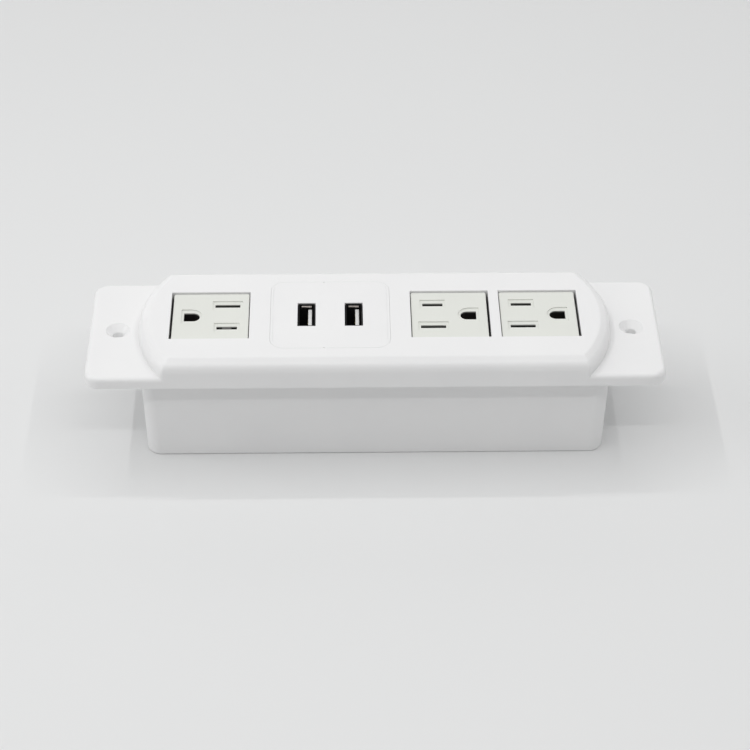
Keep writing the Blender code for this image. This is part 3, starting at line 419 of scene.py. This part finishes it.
# ---------------------------------------------------------------------------------------------------------
# The case screws: zinc-plated pan heads with a cross recess, driven up into the posts of the faceplate.
# Each is spun from its half outline, ridged where its thread runs, and the cross is sunk into its head.
# ---------------------------------------------------------------------------------------------------------
SHANK = 0.0015
HEAD = 0.0028
HEAD_HEIGHT = 0.0019
THREAD_PITCH = 0.0009
THREAD_DEPTH = 0.0002
POINT = 0.3 * SHANK
HEAD_FLAT = 0.45 * HEAD
HEAD_RIM = 0.3 * HEAD_HEIGHT
DOME_STEPS = 6
CROSS_REACH = 0.58 * HEAD
CROSS_WIDTH = 0.17 * HEAD
CROSS_DEPTH = 0.55 * HEAD_HEIGHT
POLE_MERGE = 1e-7


def plated_look(place):
    scuff = place.noise(900.0, 4.0)
    return {
        "Base Color": scuff.tint((0.62, 0.63, 0.64), (0.74, 0.74, 0.73)),
        "Metallic": 1.0,
        "Roughness": 0.26 + 0.16 * scuff,
        "Normal": scuff.relief(0.000008),
    }


zinc = finish("zinc_plate", plated_look)


def spun(bm, profile, centre, steps=48):
    """Spins a half outline of (radius, height) points about the Z axis into a closed solid."""
    points = [bm.verts.new(centre + Vector((radius, 0, height))) for radius, height in profile]
    edges = [bm.edges.new(pair) for pair in zip(points, points[1:])]
    bmesh.ops.spin(
        bm,
        geom=points + edges,
        cent=centre,
        axis=(0, 0, 1),
        angle=2 * math.pi,
        steps=steps,
        use_merge=True,
    )
    bmesh.ops.remove_doubles(bm, verts=bm.verts, dist=POLE_MERGE)


def screw_outline(length):
    """Half of a screw that points up: tip, ridged shank, flat seat and domed head."""
    root = SHANK - THREAD_DEPTH
    outline = [(0, length), (POINT, length)]
    turns = int((length - 2 * SHANK) / THREAD_PITCH)
    for turn in range(turns, 0, -1):
        outline.append((root, turn * THREAD_PITCH + THREAD_PITCH / 2))
        outline.append((SHANK, turn * THREAD_PITCH))
    outline += [(root, THREAD_PITCH / 2), (root, 0), (HEAD, 0)]
    for step in range(DOME_STEPS + 1):
        angle = math.pi / 2 * step / DOME_STEPS
        radius = HEAD_FLAT + (HEAD - HEAD_FLAT) * math.cos(angle)
        outline.append((radius, -HEAD_RIM - (HEAD_HEIGHT - HEAD_RIM) * math.sin(angle)))
    return outline + [(0, -HEAD_HEIGHT)]


def cross_screw(name, seat, length):
    """A screw whose head's seat is at this place and whose tip is this far above it."""
    bm = bmesh.new()
    spun(bm, screw_outline(length), Vector(seat))
    screw = started(name, bm)
    for along, across in ((CROSS_REACH, CROSS_WIDTH), (CROSS_WIDTH, CROSS_REACH)):
        bm = bmesh.new()
        low = (seat[0] - along, seat[1] - across, seat[2] - 2 * HEAD_HEIGHT)
        block(bm, low, (seat[0] + along, seat[1] + across, seat[2] - HEAD_HEIGHT + CROSS_DEPTH))
        worked(screw, "DIFFERENCE", bm)
    return screw


for node in [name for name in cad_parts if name.startswith("case_screw")]:
    low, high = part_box(node)
    seat = ((low.x + high.x) / 2, (low.y + high.y) / 2, low.z + HEAD_HEIGHT)
    screw = cross_screw(node + "_cross", seat, high.z - seat[2])
    dressed(screw, zinc, "zinc_steel", node, sharp=40.0)


# ---------------------------------------------------------------------------------------------------------
# The cord inlet: a soft grey rubber ring pressed into the rear wall, spun from its half outline. Its rounded
# rim bears on the wall outside, and the tapered end of its body holds it inside.
# ---------------------------------------------------------------------------------------------------------
CORD_BORE = 0.0042
BORE_EASE = 0.0004
RING_BODY = 0.0056
BODY_TAPER = 0.0003
TAPER_LENGTH = 0.001
RING_RIM = 0.0071
RIM_HEIGHT = 0.0016
# The rim's soft corner, as steps in from its edge and down from its top.
RIM_CORNER = ((0.0007, 0.0), (0.0002, 0.0003), (0.0, 0.0008))


def rubber_look(place):
    bloom = place.noise(420.0, 3.0)
    return {
        "Base Color": bloom.tint((0.50, 0.50, 0.505), (0.60, 0.60, 0.60)),
        "Roughness": 0.62 + 0.16 * bloom,
        "Specular IOR Level": 0.35,
        "Normal": place.noise(3000.0).relief(0.00002),
    }


inner_end = RIM_HEIGHT - (bushing_high.y - bushing_low.y)
outline = [(CORD_BORE + BORE_EASE, RIM_HEIGHT)]
outline += [(RING_RIM - inwards, RIM_HEIGHT - down) for inwards, down in RIM_CORNER]
outline += [(RING_RIM, 0.0), (RING_BODY, 0.0), (RING_BODY, inner_end + TAPER_LENGTH)]
outline += [(RING_BODY - BODY_TAPER, inner_end), (CORD_BORE, inner_end), (CORD_BORE, RIM_HEIGHT - BORE_EASE)]
bm = bmesh.new()
spun(bm, outline + outline[:1], Vector((0, 0, 0)), 64)
rim_seat = Matrix.Translation((INLET_X, bushing_high.y - RIM_HEIGHT, INLET_Z))
outwards = rim_seat @ Matrix.Rotation(-math.pi / 2, 4, "X")
bmesh.ops.transform(bm, matrix=outwards, verts=bm.verts)
ring = started("cord_inlet_ring", bm)
dressed(ring, finish("grey_rubber", rubber_look), "bushing_rubber", "cord_inlet_bushing")

# ---------------------------------------------------------------------------------------------------------
# The outlets: an off-white face that clips up into each window, its slots sunk in shallow recesses.
# Behind it a cream housing holds three sprung brass contacts, which show dimly in the slots. The hole walls
# carry painted shade.
# ---------------------------------------------------------------------------------------------------------
FACE_WIDTH = 0.0264
FACE_CORNER = 0.0008
FACE_EDGE = 0.0004
FACE_EDGE_BREAK = 0.0002
LEDGE = 0.002
BLADE_SPACING = 0.0127
GROUND_DISTANCE = 0.0119
SLOT_WIDTH = 0.0016
HOT_SLOT = 0.0071
NEUTRAL_SLOT = 0.0087
GROUND_LENGTH = 0.0055
GROUND_WIDTH = 0.0047
RECESS_MARGIN = 0.0009
RECESS_SIDE_MARGIN = 0.0017
RECESS_DEPTH = 0.0004
WINDOW_LENGTH = 0.0275
WINDOW_WIDTH = 0.027
BLADE_CLEARANCE = 0.0003
NOSE_SHARE = 0.98
# The painted shade in the holes: the depth it takes to reach full shade, and its colour in the ground hole
# and in the slots.
HOLE_SHADE_DEPTH = 0.003
GROUND_HOLE_PAINTED_SHADE = (0.52, 0.50, 0.42)
SLOT_PAINTED_SHADE = (0.016, 0.015, 0.014)
TIP_WIDTH = 0.0032
TIP_DROP = 0.0006
FINE_BREAK = 0.0001
BLADE_X = -GROUND_DISTANCE / 2
GROUND_X = GROUND_DISTANCE / 2 + (GROUND_LENGTH - GROUND_WIDTH) / 2
WAYS = {"left": -1, "middle": 1, "right": 1}

FACE_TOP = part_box("left_outlet_face")[1].z
FACE_PLASTIC = moulded((0.750, 0.760, 0.715), (0.730, 0.742, 0.698), 0.42, grain=0.000005)


def outlet_look(place):
    """Off-white moulded plastic with painted shade down the walls of its holes, darkest in the narrow slots.
    """
    inputs = FACE_PLASTIC(place)
    parts = place.node("ShaderNodeSeparateXYZ", {"Vector": place}).socket.node.outputs
    across = Flow(place.tree, parts["Y"]).maths("ABSOLUTE")
    height = Flow(place.tree, parts["Z"])
    # Painted shade: the hole walls turn from the plastic's colour to the shade colour as they go down.
    depth = (FACE_TOP - height) * (1 / HOLE_SHADE_DEPTH)
    in_slot = (across * (1 / BLADE_SPACING)).ramp((0.30, 0.0), (0.36, 1.0))
    hole_painted_shade = in_slot.tint(GROUND_HOLE_PAINTED_SHADE, SLOT_PAINTED_SHADE)
    shade = depth.ramp((0.15, 0.0), (0.35, 1.0))
    blend = {0: shade, 6: inputs["Base Color"], 7: hole_painted_shade}
    inputs["Base Color"] = place.node("ShaderNodeMix", blend, output=2, data_type="RGBA")
    return inputs


outlet_white_painted_hole_shade = finish("outlet_plastic_satin_painted_hole_shade", outlet_look)


def brass_look(place):
    stain = place.noise(700.0, 4.0)
    return {
        "Base Color": stain.tint((0.62, 0.50, 0.27), (0.76, 0.63, 0.36)),
        "Metallic": 1.0,
        "Roughness": 0.24 + 0.2 * stain,
        "Normal": stain.relief(0.000006),
    }


def tinned_look(place):
    smear = place.noise(1500.0, 3.0)
    return {
        "Base Color": smear.tint((0.17, 0.165, 0.16), (0.25, 0.24, 0.235)),
        "Metallic": 0.3,
        "Roughness": 0.45 + 0.15 * smear,
        "Normal": smear.relief(0.000004),
    }


brass = finish("sprung_brass", brass_look)
cream = finish("cream_housing_plastic", moulded((0.64, 0.62, 0.57), (0.60, 0.58, 0.53), 0.55))


def window_centre(side):
    """The middle of the window, which the face fills but for a fixed gap on its blade side."""
    low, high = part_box(f"{side}_outlet_face")
    if WAYS[side] > 0:
        return low.x - BLADE_CLEARANCE + WINDOW_LENGTH / 2
    return high.x + BLADE_CLEARANCE - WINDOW_LENGTH / 2


def pin_hole(bm, x, length, width, way, bottom, top):
    """A U-shaped hole, round towards the blades and square on its other side."""
    verts = block(bm, (x - length / 2, -width / 2, bottom), (x + length / 2, width / 2, top))
    edges = {e for v in verts for e in v.link_edges}
    nose = [e for e in edges if e in upright(bm) and (e.verts[0].co.x - x) * way < 0]
    rounded(bm, nose, width / 2 * NOSE_SHARE, 12)


for side, way in WAYS.items():
    low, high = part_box(f"{side}_outlet_face")
    centre = window_centre(side)
    plug_low = Vector((low.x, -FACE_WIDTH / 2, low.z))
    plug_high = Vector((high.x, FACE_WIDTH / 2, high.z))
    bm = slab(plug_low, plug_high, FACE_CORNER, 6)
    rounded(bm, at_height(bm, high.z), FACE_EDGE, 4)
    face = started(f"{side}_face", bm)
    bm = bmesh.new()
    block(bm, low, (high.x, high.y, low.z + LEDGE))
    worked(face, "UNION", bm)
    recesses = bmesh.new()
    slots = bmesh.new()
    level = high.z - RECESS_DEPTH
    above = high.z + RECESS_DEPTH
    below = low.z - RECESS_DEPTH
    for y, length in ((BLADE_SPACING / 2, HOT_SLOT), (-BLADE_SPACING / 2, NEUTRAL_SLOT)):
        x = centre + way * BLADE_X
        half = Vector((length / 2, SLOT_WIDTH / 2))
        grown = half + Vector((RECESS_MARGIN, RECESS_SIDE_MARGIN))
        for cutter, size, bottom in ((recesses, grown, level), (slots, half, below)):
            block(cutter, (x - size.x, way * y - size.y, bottom), (x + size.x, way * y + size.y, above))
    x = centre + way * GROUND_X
    wide = (GROUND_LENGTH + 2 * RECESS_MARGIN, GROUND_WIDTH + 2 * RECESS_SIDE_MARGIN)
    pin_hole(recesses, x, *wide, way, level, above)
    pin_hole(slots, x, GROUND_LENGTH, GROUND_WIDTH, way, below, above)
    worked(face, "DIFFERENCE", recesses)
    worked(face, "DIFFERENCE", slots)
    dressed(face, outlet_white_painted_hole_shade, "outlet_plastic", f"{side}_outlet_face", edge=FACE_EDGE_BREAK)
    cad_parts[f"{side}_outlet_housing"].material_slots[0].material = cream
    for contact in ("hot", "neutral", "ground"):
        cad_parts[f"{side}_{contact}_contact"].material_slots[0].material = brass

# The contact's tinned tip stands up into the near slot of the left outlet, against its far wall.
tip_x = window_centre("left") + WAYS["left"] * BLADE_X
tip_y = (SLOT_WIDTH - BLADE_SPACING) / 2 - EDGE_BREAK
bm = bmesh.new()
tip_low = (tip_x - TIP_WIDTH / 2, tip_y - TIP_DROP, FACE_TOP - HOLE_SHADE_DEPTH)
block(bm, tip_low, (tip_x + TIP_WIDTH / 2, tip_y, FACE_TOP - TIP_DROP))
tip = started("left_contact_tip", bm)
dressed(tip, finish("dull_tinned_tip", tinned_look), "contact_brass", edge=FINE_BREAK)


# ---------------------------------------------------------------------------------------------------------
# The wiring and the USB supply inside the box: coloured leads, a green board with its screws, and the
# parts that hang under it. They are closed in, so the solids stay and only get their real finishes.
# ---------------------------------------------------------------------------------------------------------
def drawn_look(colour):
    """Extruded insulation, with the faint lengthways streaks of its die."""

    def look(place):
        streak = place.noise(1500.0, 3.0)
        lighter = tuple(min(1.0, channel * 1.12 + 0.01) for channel in colour)
        return {
            "Base Color": streak.tint(colour, lighter),
            "Roughness": 0.34 + 0.14 * streak,
            "Normal": streak.relief(0.00001),
        }

    return look


def board_look(place):
    weave = place.node("ShaderNodeTexWave", {"Vector": place, "Scale": 420.0, "Distortion": 1.5}, output=1)
    return {
        "Base Color": weave.tint((0.05, 0.20, 0.08), (0.08, 0.27, 0.11)),
        "Roughness": 0.3 + 0.12 * place.noise(800.0),
        "Normal": weave.relief(0.00001),
    }


def ferrite_look(place):
    pores = place.noise(2600.0, 4.0)
    return {
        "Base Color": pores.tint((0.035, 0.035, 0.037), (0.075, 0.075, 0.078)),
        "Roughness": 0.62 + 0.2 * pores,
        "Normal": pores.relief(0.00003),
    }


def tape_look(place):
    lap = place.node("ShaderNodeTexWave", {"Vector": place, "Scale": 160.0}, output=1, bands_direction="Z")
    return {
        "Base Color": lap.tint((0.70, 0.52, 0.08), (0.80, 0.63, 0.14)),
        "Roughness": 0.3 + 0.1 * lap,
        "Normal": lap.relief(0.00002),
    }


def sleeve_look(place):
    shrink = place.noise(600.0, 3.0)
    return {
        "Base Color": shrink.tint((0.05, 0.05, 0.07), (0.10, 0.10, 0.12)),
        "Roughness": 0.28 + 0.15 * shrink,
        "Normal": shrink.relief(0.00001),
    }


def glass_look(place):
    haze = place.noise(900.0, 3.0)
    return {
        "Base Color": haze.tint((0.55, 0.52, 0.45), (0.68, 0.66, 0.60)),
        "Roughness": 0.12 + 0.12 * haze,
        "Normal": haze.relief(0.000004),
    }


BLACK_LEAD = finish("black_lead", drawn_look((0.025, 0.025, 0.025)))
WHITE_LEAD = finish("white_lead", drawn_look((0.76, 0.76, 0.75)))
GREEN_LEAD = finish("green_lead", drawn_look((0.04, 0.30, 0.09)))
LEADS = {"hot": BLACK_LEAD, "neutral": WHITE_LEAD, "ground": GREEN_LEAD}
for name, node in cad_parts.items():
    if "_wire_" in name or name.endswith("_lead"):
        kind = next(kind for kind in LEADS if kind in name)
        node.material_slots[0].material = LEADS[kind]
resin = finish("chip_resin_black", moulded((0.045, 0.045, 0.047), (0.03, 0.03, 0.032), 0.55))
sleeve = finish("shrunk_sleeve", sleeve_look)
INSIDE = {
    "usb_circuit_board": finish("green_laminate", board_look),
    "transformer_core": finish("pressed_ferrite", ferrite_look),
    "transformer_coil": finish("wound_tape", tape_look),
    "input_capacitor": sleeve,
    "output_capacitor": sleeve,
    "film_capacitor": finish("film_case_plastic", moulded((0.80, 0.64, 0.20), (0.72, 0.57, 0.16), 0.45)),
    "bridge_rectifier": resin,
    "controller_chip": resin,
    "fuse": finish("fuse_glass", glass_look),
    "left_board_screw": zinc,
    "right_board_screw": zinc,
}
for name, material in INSIDE.items():
    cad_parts[name].material_slots[0].material = material


# ---------------------------------------------------------------------------------------------------------
# The USB ports: a folded dark steel shell, two bright springs that grip the plug, and a white tongue
# that carries four gilded contacts on its open side.
# ---------------------------------------------------------------------------------------------------------
SHELL_WALL = 0.0003
SHELL_BREAK = 0.00006
SPRING_WIDTH = 0.0036
SPRING_RISE = 0.0004
SPRING_TOP = 0.0006
SPRING_DEPTH = 0.0005
SPRING_SLOPE = SPRING_DEPTH / 4
TONGUE_THICKNESS = 0.0013
TONGUE_WIDTH = 0.0111
TONGUE_GAP = 0.0007
TONGUE_BREAK = 0.0002
INSULATOR = 0.003
PAD_PLACES = (-0.0035, -0.001, 0.001, 0.0035)
PAD_WIDTH = 0.001
PAD_THICKNESS = 0.0001
PAD_BREAK = 0.00003


def blackened_look(place):
    wear = place.noise(1300.0, 3.0)
    return {
        "Base Color": wear.tint((0.010, 0.010, 0.011), (0.022, 0.022, 0.023)),
        "Metallic": 0.4,
        "Roughness": 0.5 + 0.2 * wear,
        "Specular IOR Level": 0.2,
        "Normal": wear.relief(0.000004),
    }


def nickel_look(place):
    brushed = place.noise(2200.0, 2.0)
    return {
        "Base Color": brushed.tint((0.50, 0.45, 0.42), (0.60, 0.55, 0.51)),
        "Metallic": 0.6,
        "Roughness": 0.35 + 0.15 * brushed,
        "Normal": brushed.relief(0.000004),
    }


def gilt_look(place):
    rub = place.noise(1800.0, 2.0)
    return {
        "Base Color": rub.tint((0.83, 0.62, 0.24), (0.93, 0.74, 0.34)),
        "Metallic": 1.0,
        "Roughness": 0.2 + 0.15 * rub,
    }


blackened = finish("blackened_steel", blackened_look)
nickel = finish("bright_nickel", nickel_look)
gilt = finish("gilded_contact", gilt_look)
tongue_white = finish("tongue_plastic_white", moulded((0.80, 0.80, 0.79), (0.76, 0.76, 0.75), 0.45))

for side in ("left", "right"):
    low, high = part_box(f"{side}_usb_shell")
    bm = slab(low, high, SHELL_WALL, 3)
    shell = started(f"{side}_port_shell", bm)
    inside = Vector((SHELL_WALL, SHELL_WALL, -SHELL_WALL))
    bm = bmesh.new()
    block(bm, low + inside, high - inside)
    worked(shell, "DIFFERENCE", bm)
    dressed(shell, blackened, "port_steel", f"{side}_usb_shell", edge=SHELL_BREAK)

    middle = (low.x + high.x) / 2
    bm = bmesh.new()
    for end, wall in ((-1, low.y + SHELL_WALL), (1, high.y - SHELL_WALL)):
        near, far = sorted((wall, wall - end * SPRING_RISE))
        verts = block(
            bm,
            (middle - SPRING_WIDTH / 2, near, high.z - SPRING_TOP - SPRING_DEPTH),
            (middle + SPRING_WIDTH / 2, far, high.z - SPRING_TOP),
        )
        for vert in verts:
            if abs(vert.co.y - wall) > SPRING_RISE / 2:
                vert.co.z -= SPRING_SLOPE
    springs = started(f"{side}_port_springs", bm)
    dressed(springs, nickel, "port_steel", edge=FINE_BREAK)

    tongue_low, tongue_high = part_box(f"{side}_usb_tongue")
    bm = bmesh.new()
    block(bm, tongue_low, (tongue_high.x, tongue_high.y, tongue_low.z + INSULATOR))
    tongue = started(f"{side}_port_tongue", bm)
    right = high.x - SHELL_WALL - TONGUE_GAP
    bm = bmesh.new()
    blade_low = (right - TONGUE_THICKNESS, -TONGUE_WIDTH / 2, tongue_low.z + INSULATOR / 2)
    block(bm, blade_low, (right, TONGUE_WIDTH / 2, tongue_high.z))
    worked(tongue, "UNION", bm)
    dressed(tongue, tongue_white, "tongue_plastic", f"{side}_usb_tongue", edge=TONGUE_BREAK)
    bm = bmesh.new()
    for y in PAD_PLACES:
        block(
            bm,
            (right - TONGUE_THICKNESS - PAD_THICKNESS, y - PAD_WIDTH / 2, tongue_low.z + INSULATOR),
            (right - TONGUE_THICKNESS, y + PAD_WIDTH / 2, tongue_high.z - PAD_WIDTH),
        )
    pads = started(f"{side}_port_contacts", bm)
    dressed(pads, gilt, "contact_brass", edge=PAD_BREAK)

# ---------------------------------------------------------------------------------------------------------
# The USB panel: a thin white insert that lies flush in the faceplate, so that only a hairline shows.
# A second fine line runs down each side of it, and a tiny nick marks its front and rear edges.
# ---------------------------------------------------------------------------------------------------------
PANEL_CORNER = 0.005
PANEL_THICKNESS = 0.0012
PANEL_MARGIN = 0.0003
HAIRLINE = 0.00005
PANEL_BREAK = 0.00005
SIDE_LINE_INSET = 0.00085
SIDE_LINE_WIDTH = 0.00012
SIDE_LINE_DEPTH = 0.00012
NICK = 0.00035
NICK_OFFSET = 0.0022
PORT_WIDTH = 0.0063
PORT_LENGTH = 0.0134
SKIRT_WALL = 0.0014
SKIRT_MARGIN = 0.0024

white = finish("white_moulded_plastic", moulded(WHITE, WHITE_SHADE, 0.32, grain=0.000006))

panel_low, panel_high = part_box("usb_panel")
USB_X = (panel_low.x + panel_high.x) / 2
reach = Vector((PANEL_MARGIN - HAIRLINE, PANEL_MARGIN - HAIRLINE, 0))
insert_low = panel_low - reach
insert_high = panel_high + reach
insert_low.z = panel_high.z - PANEL_THICKNESS
bm = slab(insert_low, insert_high, PANEL_CORNER - HAIRLINE, 14)
panel = started("usb_insert", bm)
port_boxes = [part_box(f"{side}_usb_shell") for side in ("left", "right")]
port_x = [(low.x + high.x) / 2 for low, high in port_boxes]
skirt_half = (port_x[1] - port_x[0] + PORT_WIDTH) / 2 + SKIRT_MARGIN + SKIRT_WALL
skirt_wide = PORT_LENGTH / 2 + SKIRT_MARGIN + SKIRT_WALL
skirt = bmesh.new()
top = insert_low.z + PANEL_THICKNESS / 3
block(skirt, (USB_X - skirt_half, -skirt_wide, panel_low.z), (USB_X + skirt_half, skirt_wide, top))
worked(panel, "UNION", skirt)
hollow = bmesh.new()
half, wide = skirt_half - SKIRT_WALL, skirt_wide - SKIRT_WALL
block(hollow, (USB_X - half, -wide, panel_low.z - PANEL_THICKNESS), (USB_X + half, wide, insert_low.z))
worked(panel, "DIFFERENCE", hollow)
mouths = bmesh.new()
for x in port_x:
    low = (x - PORT_WIDTH / 2, -PORT_LENGTH / 2, insert_low.z - PANEL_THICKNESS)
    block(mouths, low, (x + PORT_WIDTH / 2, PORT_LENGTH / 2, panel_high.z + PANEL_THICKNESS))
worked(panel, "DIFFERENCE", mouths)
line_low = Vector((insert_low.x + SIDE_LINE_INSET, insert_low.y, panel_high.z - SIDE_LINE_DEPTH))
line_high = Vector((insert_high.x - SIDE_LINE_INSET, insert_high.y, panel_high.z + SIDE_LINE_DEPTH))
groove = started("groove", slab(line_low, line_high, PANEL_CORNER, 14))
thin = Vector((SIDE_LINE_WIDTH, 0, 0))
deeper = Vector((0, 0, SIDE_LINE_DEPTH))
core_low = line_low + thin - deeper - Vector((0, SIDE_LINE_WIDTH, 0))
core_high = line_high - thin + deeper + Vector((0, SIDE_LINE_WIDTH, 0))
worked(groove, "DIFFERENCE", slab(core_low, core_high, PANEL_CORNER - SIDE_LINE_WIDTH, 14))
bm = bmesh.new()
bm.from_mesh(groove.data)
bpy.data.objects.remove(groove)
worked(panel, "DIFFERENCE", bm)
nicks = bmesh.new()
for y in (insert_low.y, insert_high.y):
    peg(nicks, USB_X - NICK_OFFSET, y, NICK, panel_high.z - NICK, panel_high.z + NICK, sides=16)
worked(panel, "DIFFERENCE", nicks)
dressed(panel, white, "white_abs", "usb_panel", edge=PANEL_BREAK)

# ---------------------------------------------------------------------------------------------------------
# The faceplate: one glossy white moulding with arched ends, a soft double shoulder and two flat flanges.
# The windows, the panel's recess and the countersunk holes are moulded in, and posts stand under it.
# ---------------------------------------------------------------------------------------------------------
RAISED_LENGTH = 0.1642
END_RADIUS = 0.046
RIDGE_ROUND = 0.0015
RAISED_STEP = 0.0063
SHOULDER_WIDTH = 0.0037
SHOULDER_HEIGHT = 0.0047
BAND_WIDTH = 0.002
BAND_DROP = 0.0012
BAND_FOOT_ROUND = 0.001
BAND_TOP_ROUND = 0.002
ARC_STEPS = 32
CORNER_STEPS = 4
SHOULDER_STEPS = 12
BAND_STEPS = 8
EAR_THICKNESS = 0.0043
EAR_CORNER = 0.0052
EAR_EDGE = 0.0017
TOP_WALL = 0.003
SEAT_DEPTH = 0.0008
LIP_WALL = 0.0022
LIP_DEPTH = 0.0035
HOLE_FROM_END = 0.00985
HOLE = 0.0019
SINK = 0.0042
FIT = 0.0003
POST = 0.0029
PILOT = 0.0018
BOARD_POST = 0.0024
BOARD_PILOT = 0.0013

plate_low, plate_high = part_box("faceplate")
PLATE_TOP = plate_high.z
EAR_TOP = PLATE_TOP - RAISED_STEP
EAR_UNDERSIDE = EAR_TOP - EAR_THICKNESS
SEAT = EAR_UNDERSIDE + SEAT_DEPTH
CEILING = PLATE_TOP - TOP_WALL
half_width = plate_high.y

bm = slab((plate_low.x, plate_low.y, EAR_UNDERSIDE), (plate_high.x, plate_high.y, EAR_TOP), EAR_CORNER, 12)
rounded(bm, at_height(bm, EAR_TOP), EAR_EDGE, 8)
plate = started("cover", bm)

# The shoulder's outline: an arc up from the wall, then a sloping band whose two edges are softened.
across = SHOULDER_WIDTH - BAND_WIDTH
up = SHOULDER_HEIGHT - BAND_DROP
arc_end = 2 * math.atan2(across, up)
arc_radius = up / math.sin(arc_end)
slope = math.atan2(BAND_DROP, BAND_WIDTH)


def softened(corner, before, after, radius):
    """An arc in place of a corner between two directions, each an angle above the level."""
    turn = before - after
    start = corner - Vector((math.cos(before), math.sin(before))) * radius * math.tan(turn / 2)
    middle = start + Vector((math.sin(before), -math.cos(before))) * radius
    for step in range(BAND_STEPS + 1):
        angle = before - turn * step / BAND_STEPS
        yield middle + Vector((-math.sin(angle), math.cos(angle))) * radius


shoulder = []
for step in range(SHOULDER_STEPS):
    angle = arc_end * step / SHOULDER_STEPS
    shoulder.append(Vector((arc_radius * (1 - math.cos(angle)), arc_radius * math.sin(angle))))
shoulder += softened(Vector((across, up)), math.pi / 2 - arc_end, slope, BAND_FOOT_ROUND)
shoulder += softened(Vector((SHOULDER_WIDTH, SHOULDER_HEIGHT)), slope, 0.0, BAND_TOP_ROUND)
outline = [(0.0, EAR_UNDERSIDE)] + [(inset, PLATE_TOP - SHOULDER_HEIGHT + rise) for inset, rise in shoulder]


def raised_ring(bm, inset, height):
    """One level of the raised centre: two straight sides, two arcs and four soft corners."""
    arc_x = RAISED_LENGTH / 2 - END_RADIUS
    reach = END_RADIUS - inset
    corner_y = half_width - inset - RIDGE_ROUND
    corner_x = arc_x + math.sqrt((reach - RIDGE_ROUND) ** 2 - corner_y**2)
    meeting = math.atan2(corner_y, corner_x - arc_x)
    quarter = []
    for step in range(ARC_STEPS):
        angle = meeting * step / ARC_STEPS
        quarter.append(Vector((arc_x + reach * math.cos(angle), reach * math.sin(angle), height)))
    for step in range(CORNER_STEPS + 1):
        angle = meeting + (math.pi / 2 - meeting) * step / CORNER_STEPS
        corner = Vector((corner_x, corner_y, height))
        quarter.append(corner + RIDGE_ROUND * Vector((math.cos(angle), math.sin(angle), 0)))
    left = [Vector((-point.x, point.y, point.z)) for point in reversed(quarter)]
    half = quarter + left
    near = [Vector((point.x, -point.y, point.z)) for point in reversed(half[1:-1])]
    verts = [bm.verts.new(point) for point in half + near]
    return [bm.edges.new((verts[at - 1], verts[at])) for at in range(len(verts))]


bm = bmesh.new()
levels = [raised_ring(bm, inset, height) for inset, height in outline]
for lower, upper in zip(levels, levels[1:]):
    bmesh.ops.bridge_loops(bm, edges=lower + upper)
bmesh.ops.contextual_create(bm, geom=levels[0])
bmesh.ops.contextual_create(bm, geom=levels[-1])
worked(plate, "UNION", bm)

seat_low = Vector((box_low.x - FIT, box_low.y - FIT, EAR_UNDERSIDE - SEAT_DEPTH))
seat_high = Vector((box_high.x + FIT, box_high.y + FIT, SEAT))
worked(plate, "DIFFERENCE", slab(seat_low, seat_high, BOX_CORNER + FIT, 14))
lip = Vector((BOX_WALL + FIT, BOX_WALL + FIT, 0))
lip_low = box_low + lip
lip_high = box_high - lip
lip_low.z = SEAT - LIP_DEPTH
lip_high.z = SEAT + SEAT_DEPTH
worked(plate, "UNION", slab(lip_low, lip_high, BOX_CORNER - BOX_WALL, 8))
lip_wall = Vector((LIP_WALL, LIP_WALL, 0))
inner_low = lip_low + lip_wall
inner_high = lip_high - lip_wall
inner_low.z -= SEAT_DEPTH
inner_high.z = CEILING
worked(plate, "DIFFERENCE", slab(inner_low, inner_high, (BOX_CORNER - BOX_WALL) / 2, 6))

posts = bmesh.new()
pilots = bmesh.new()
board_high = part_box("usb_circuit_board")[1]
for x, y in SCREW_PLACES:
    peg(posts, x, y, POST, BOSS_TOP + FIT, CEILING + SEAT_DEPTH, sides=40)
    peg(pilots, x, y, PILOT, BOSS_TOP - FIT, screw_high.z + FIT, sides=32)
for node in ("left_board_screw", "right_board_screw"):
    low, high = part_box(node)
    x = (low.x + high.x) / 2
    peg(posts, x, 0, BOARD_POST, board_high.z + FIT, CEILING + SEAT_DEPTH, sides=40)
    peg(pilots, x, 0, BOARD_PILOT, board_high.z - FIT, high.z + FIT, sides=32)
worked(plate, "UNION", posts)
worked(plate, "DIFFERENCE", pilots)

windows = bmesh.new()
for side in WAYS:
    x = window_centre(side)
    low = (x - WINDOW_LENGTH / 2, -WINDOW_WIDTH / 2, CEILING - TOP_WALL)
    block(windows, low, (x + WINDOW_LENGTH / 2, WINDOW_WIDTH / 2, PLATE_TOP + TOP_WALL))
worked(plate, "DIFFERENCE", windows)
rest = insert_low.z - FIT
margin = Vector((PANEL_MARGIN, PANEL_MARGIN, 0))
recess_low = panel_low - margin
recess_high = panel_high + margin
recess_low.z = rest
recess_high.z = PLATE_TOP + TOP_WALL
worked(plate, "DIFFERENCE", slab(recess_low, recess_high, PANEL_CORNER, 14))
opening = bmesh.new()
half, wide = skirt_half + FIT, skirt_wide + FIT
block(opening, (USB_X - half, -wide, CEILING - TOP_WALL), (USB_X + half, wide, rest + FIT))
worked(plate, "DIFFERENCE", opening)

sinks = bmesh.new()
holes = bmesh.new()
for x in (plate_low.x + HOLE_FROM_END, plate_high.x - HOLE_FROM_END):
    above = SINK - HOLE
    peg(sinks, x, 0, HOLE, EAR_TOP - above, EAR_TOP + above, top_radius=2 * SINK - HOLE, sides=96)
    peg(holes, x, 0, HOLE, EAR_UNDERSIDE - above, EAR_TOP + above, sides=96)
worked(plate, "DIFFERENCE", sinks)
worked(plate, "DIFFERENCE", holes)
dressed(plate, white, "white_abs", "faceplate", edge=EDGE_BREAK)
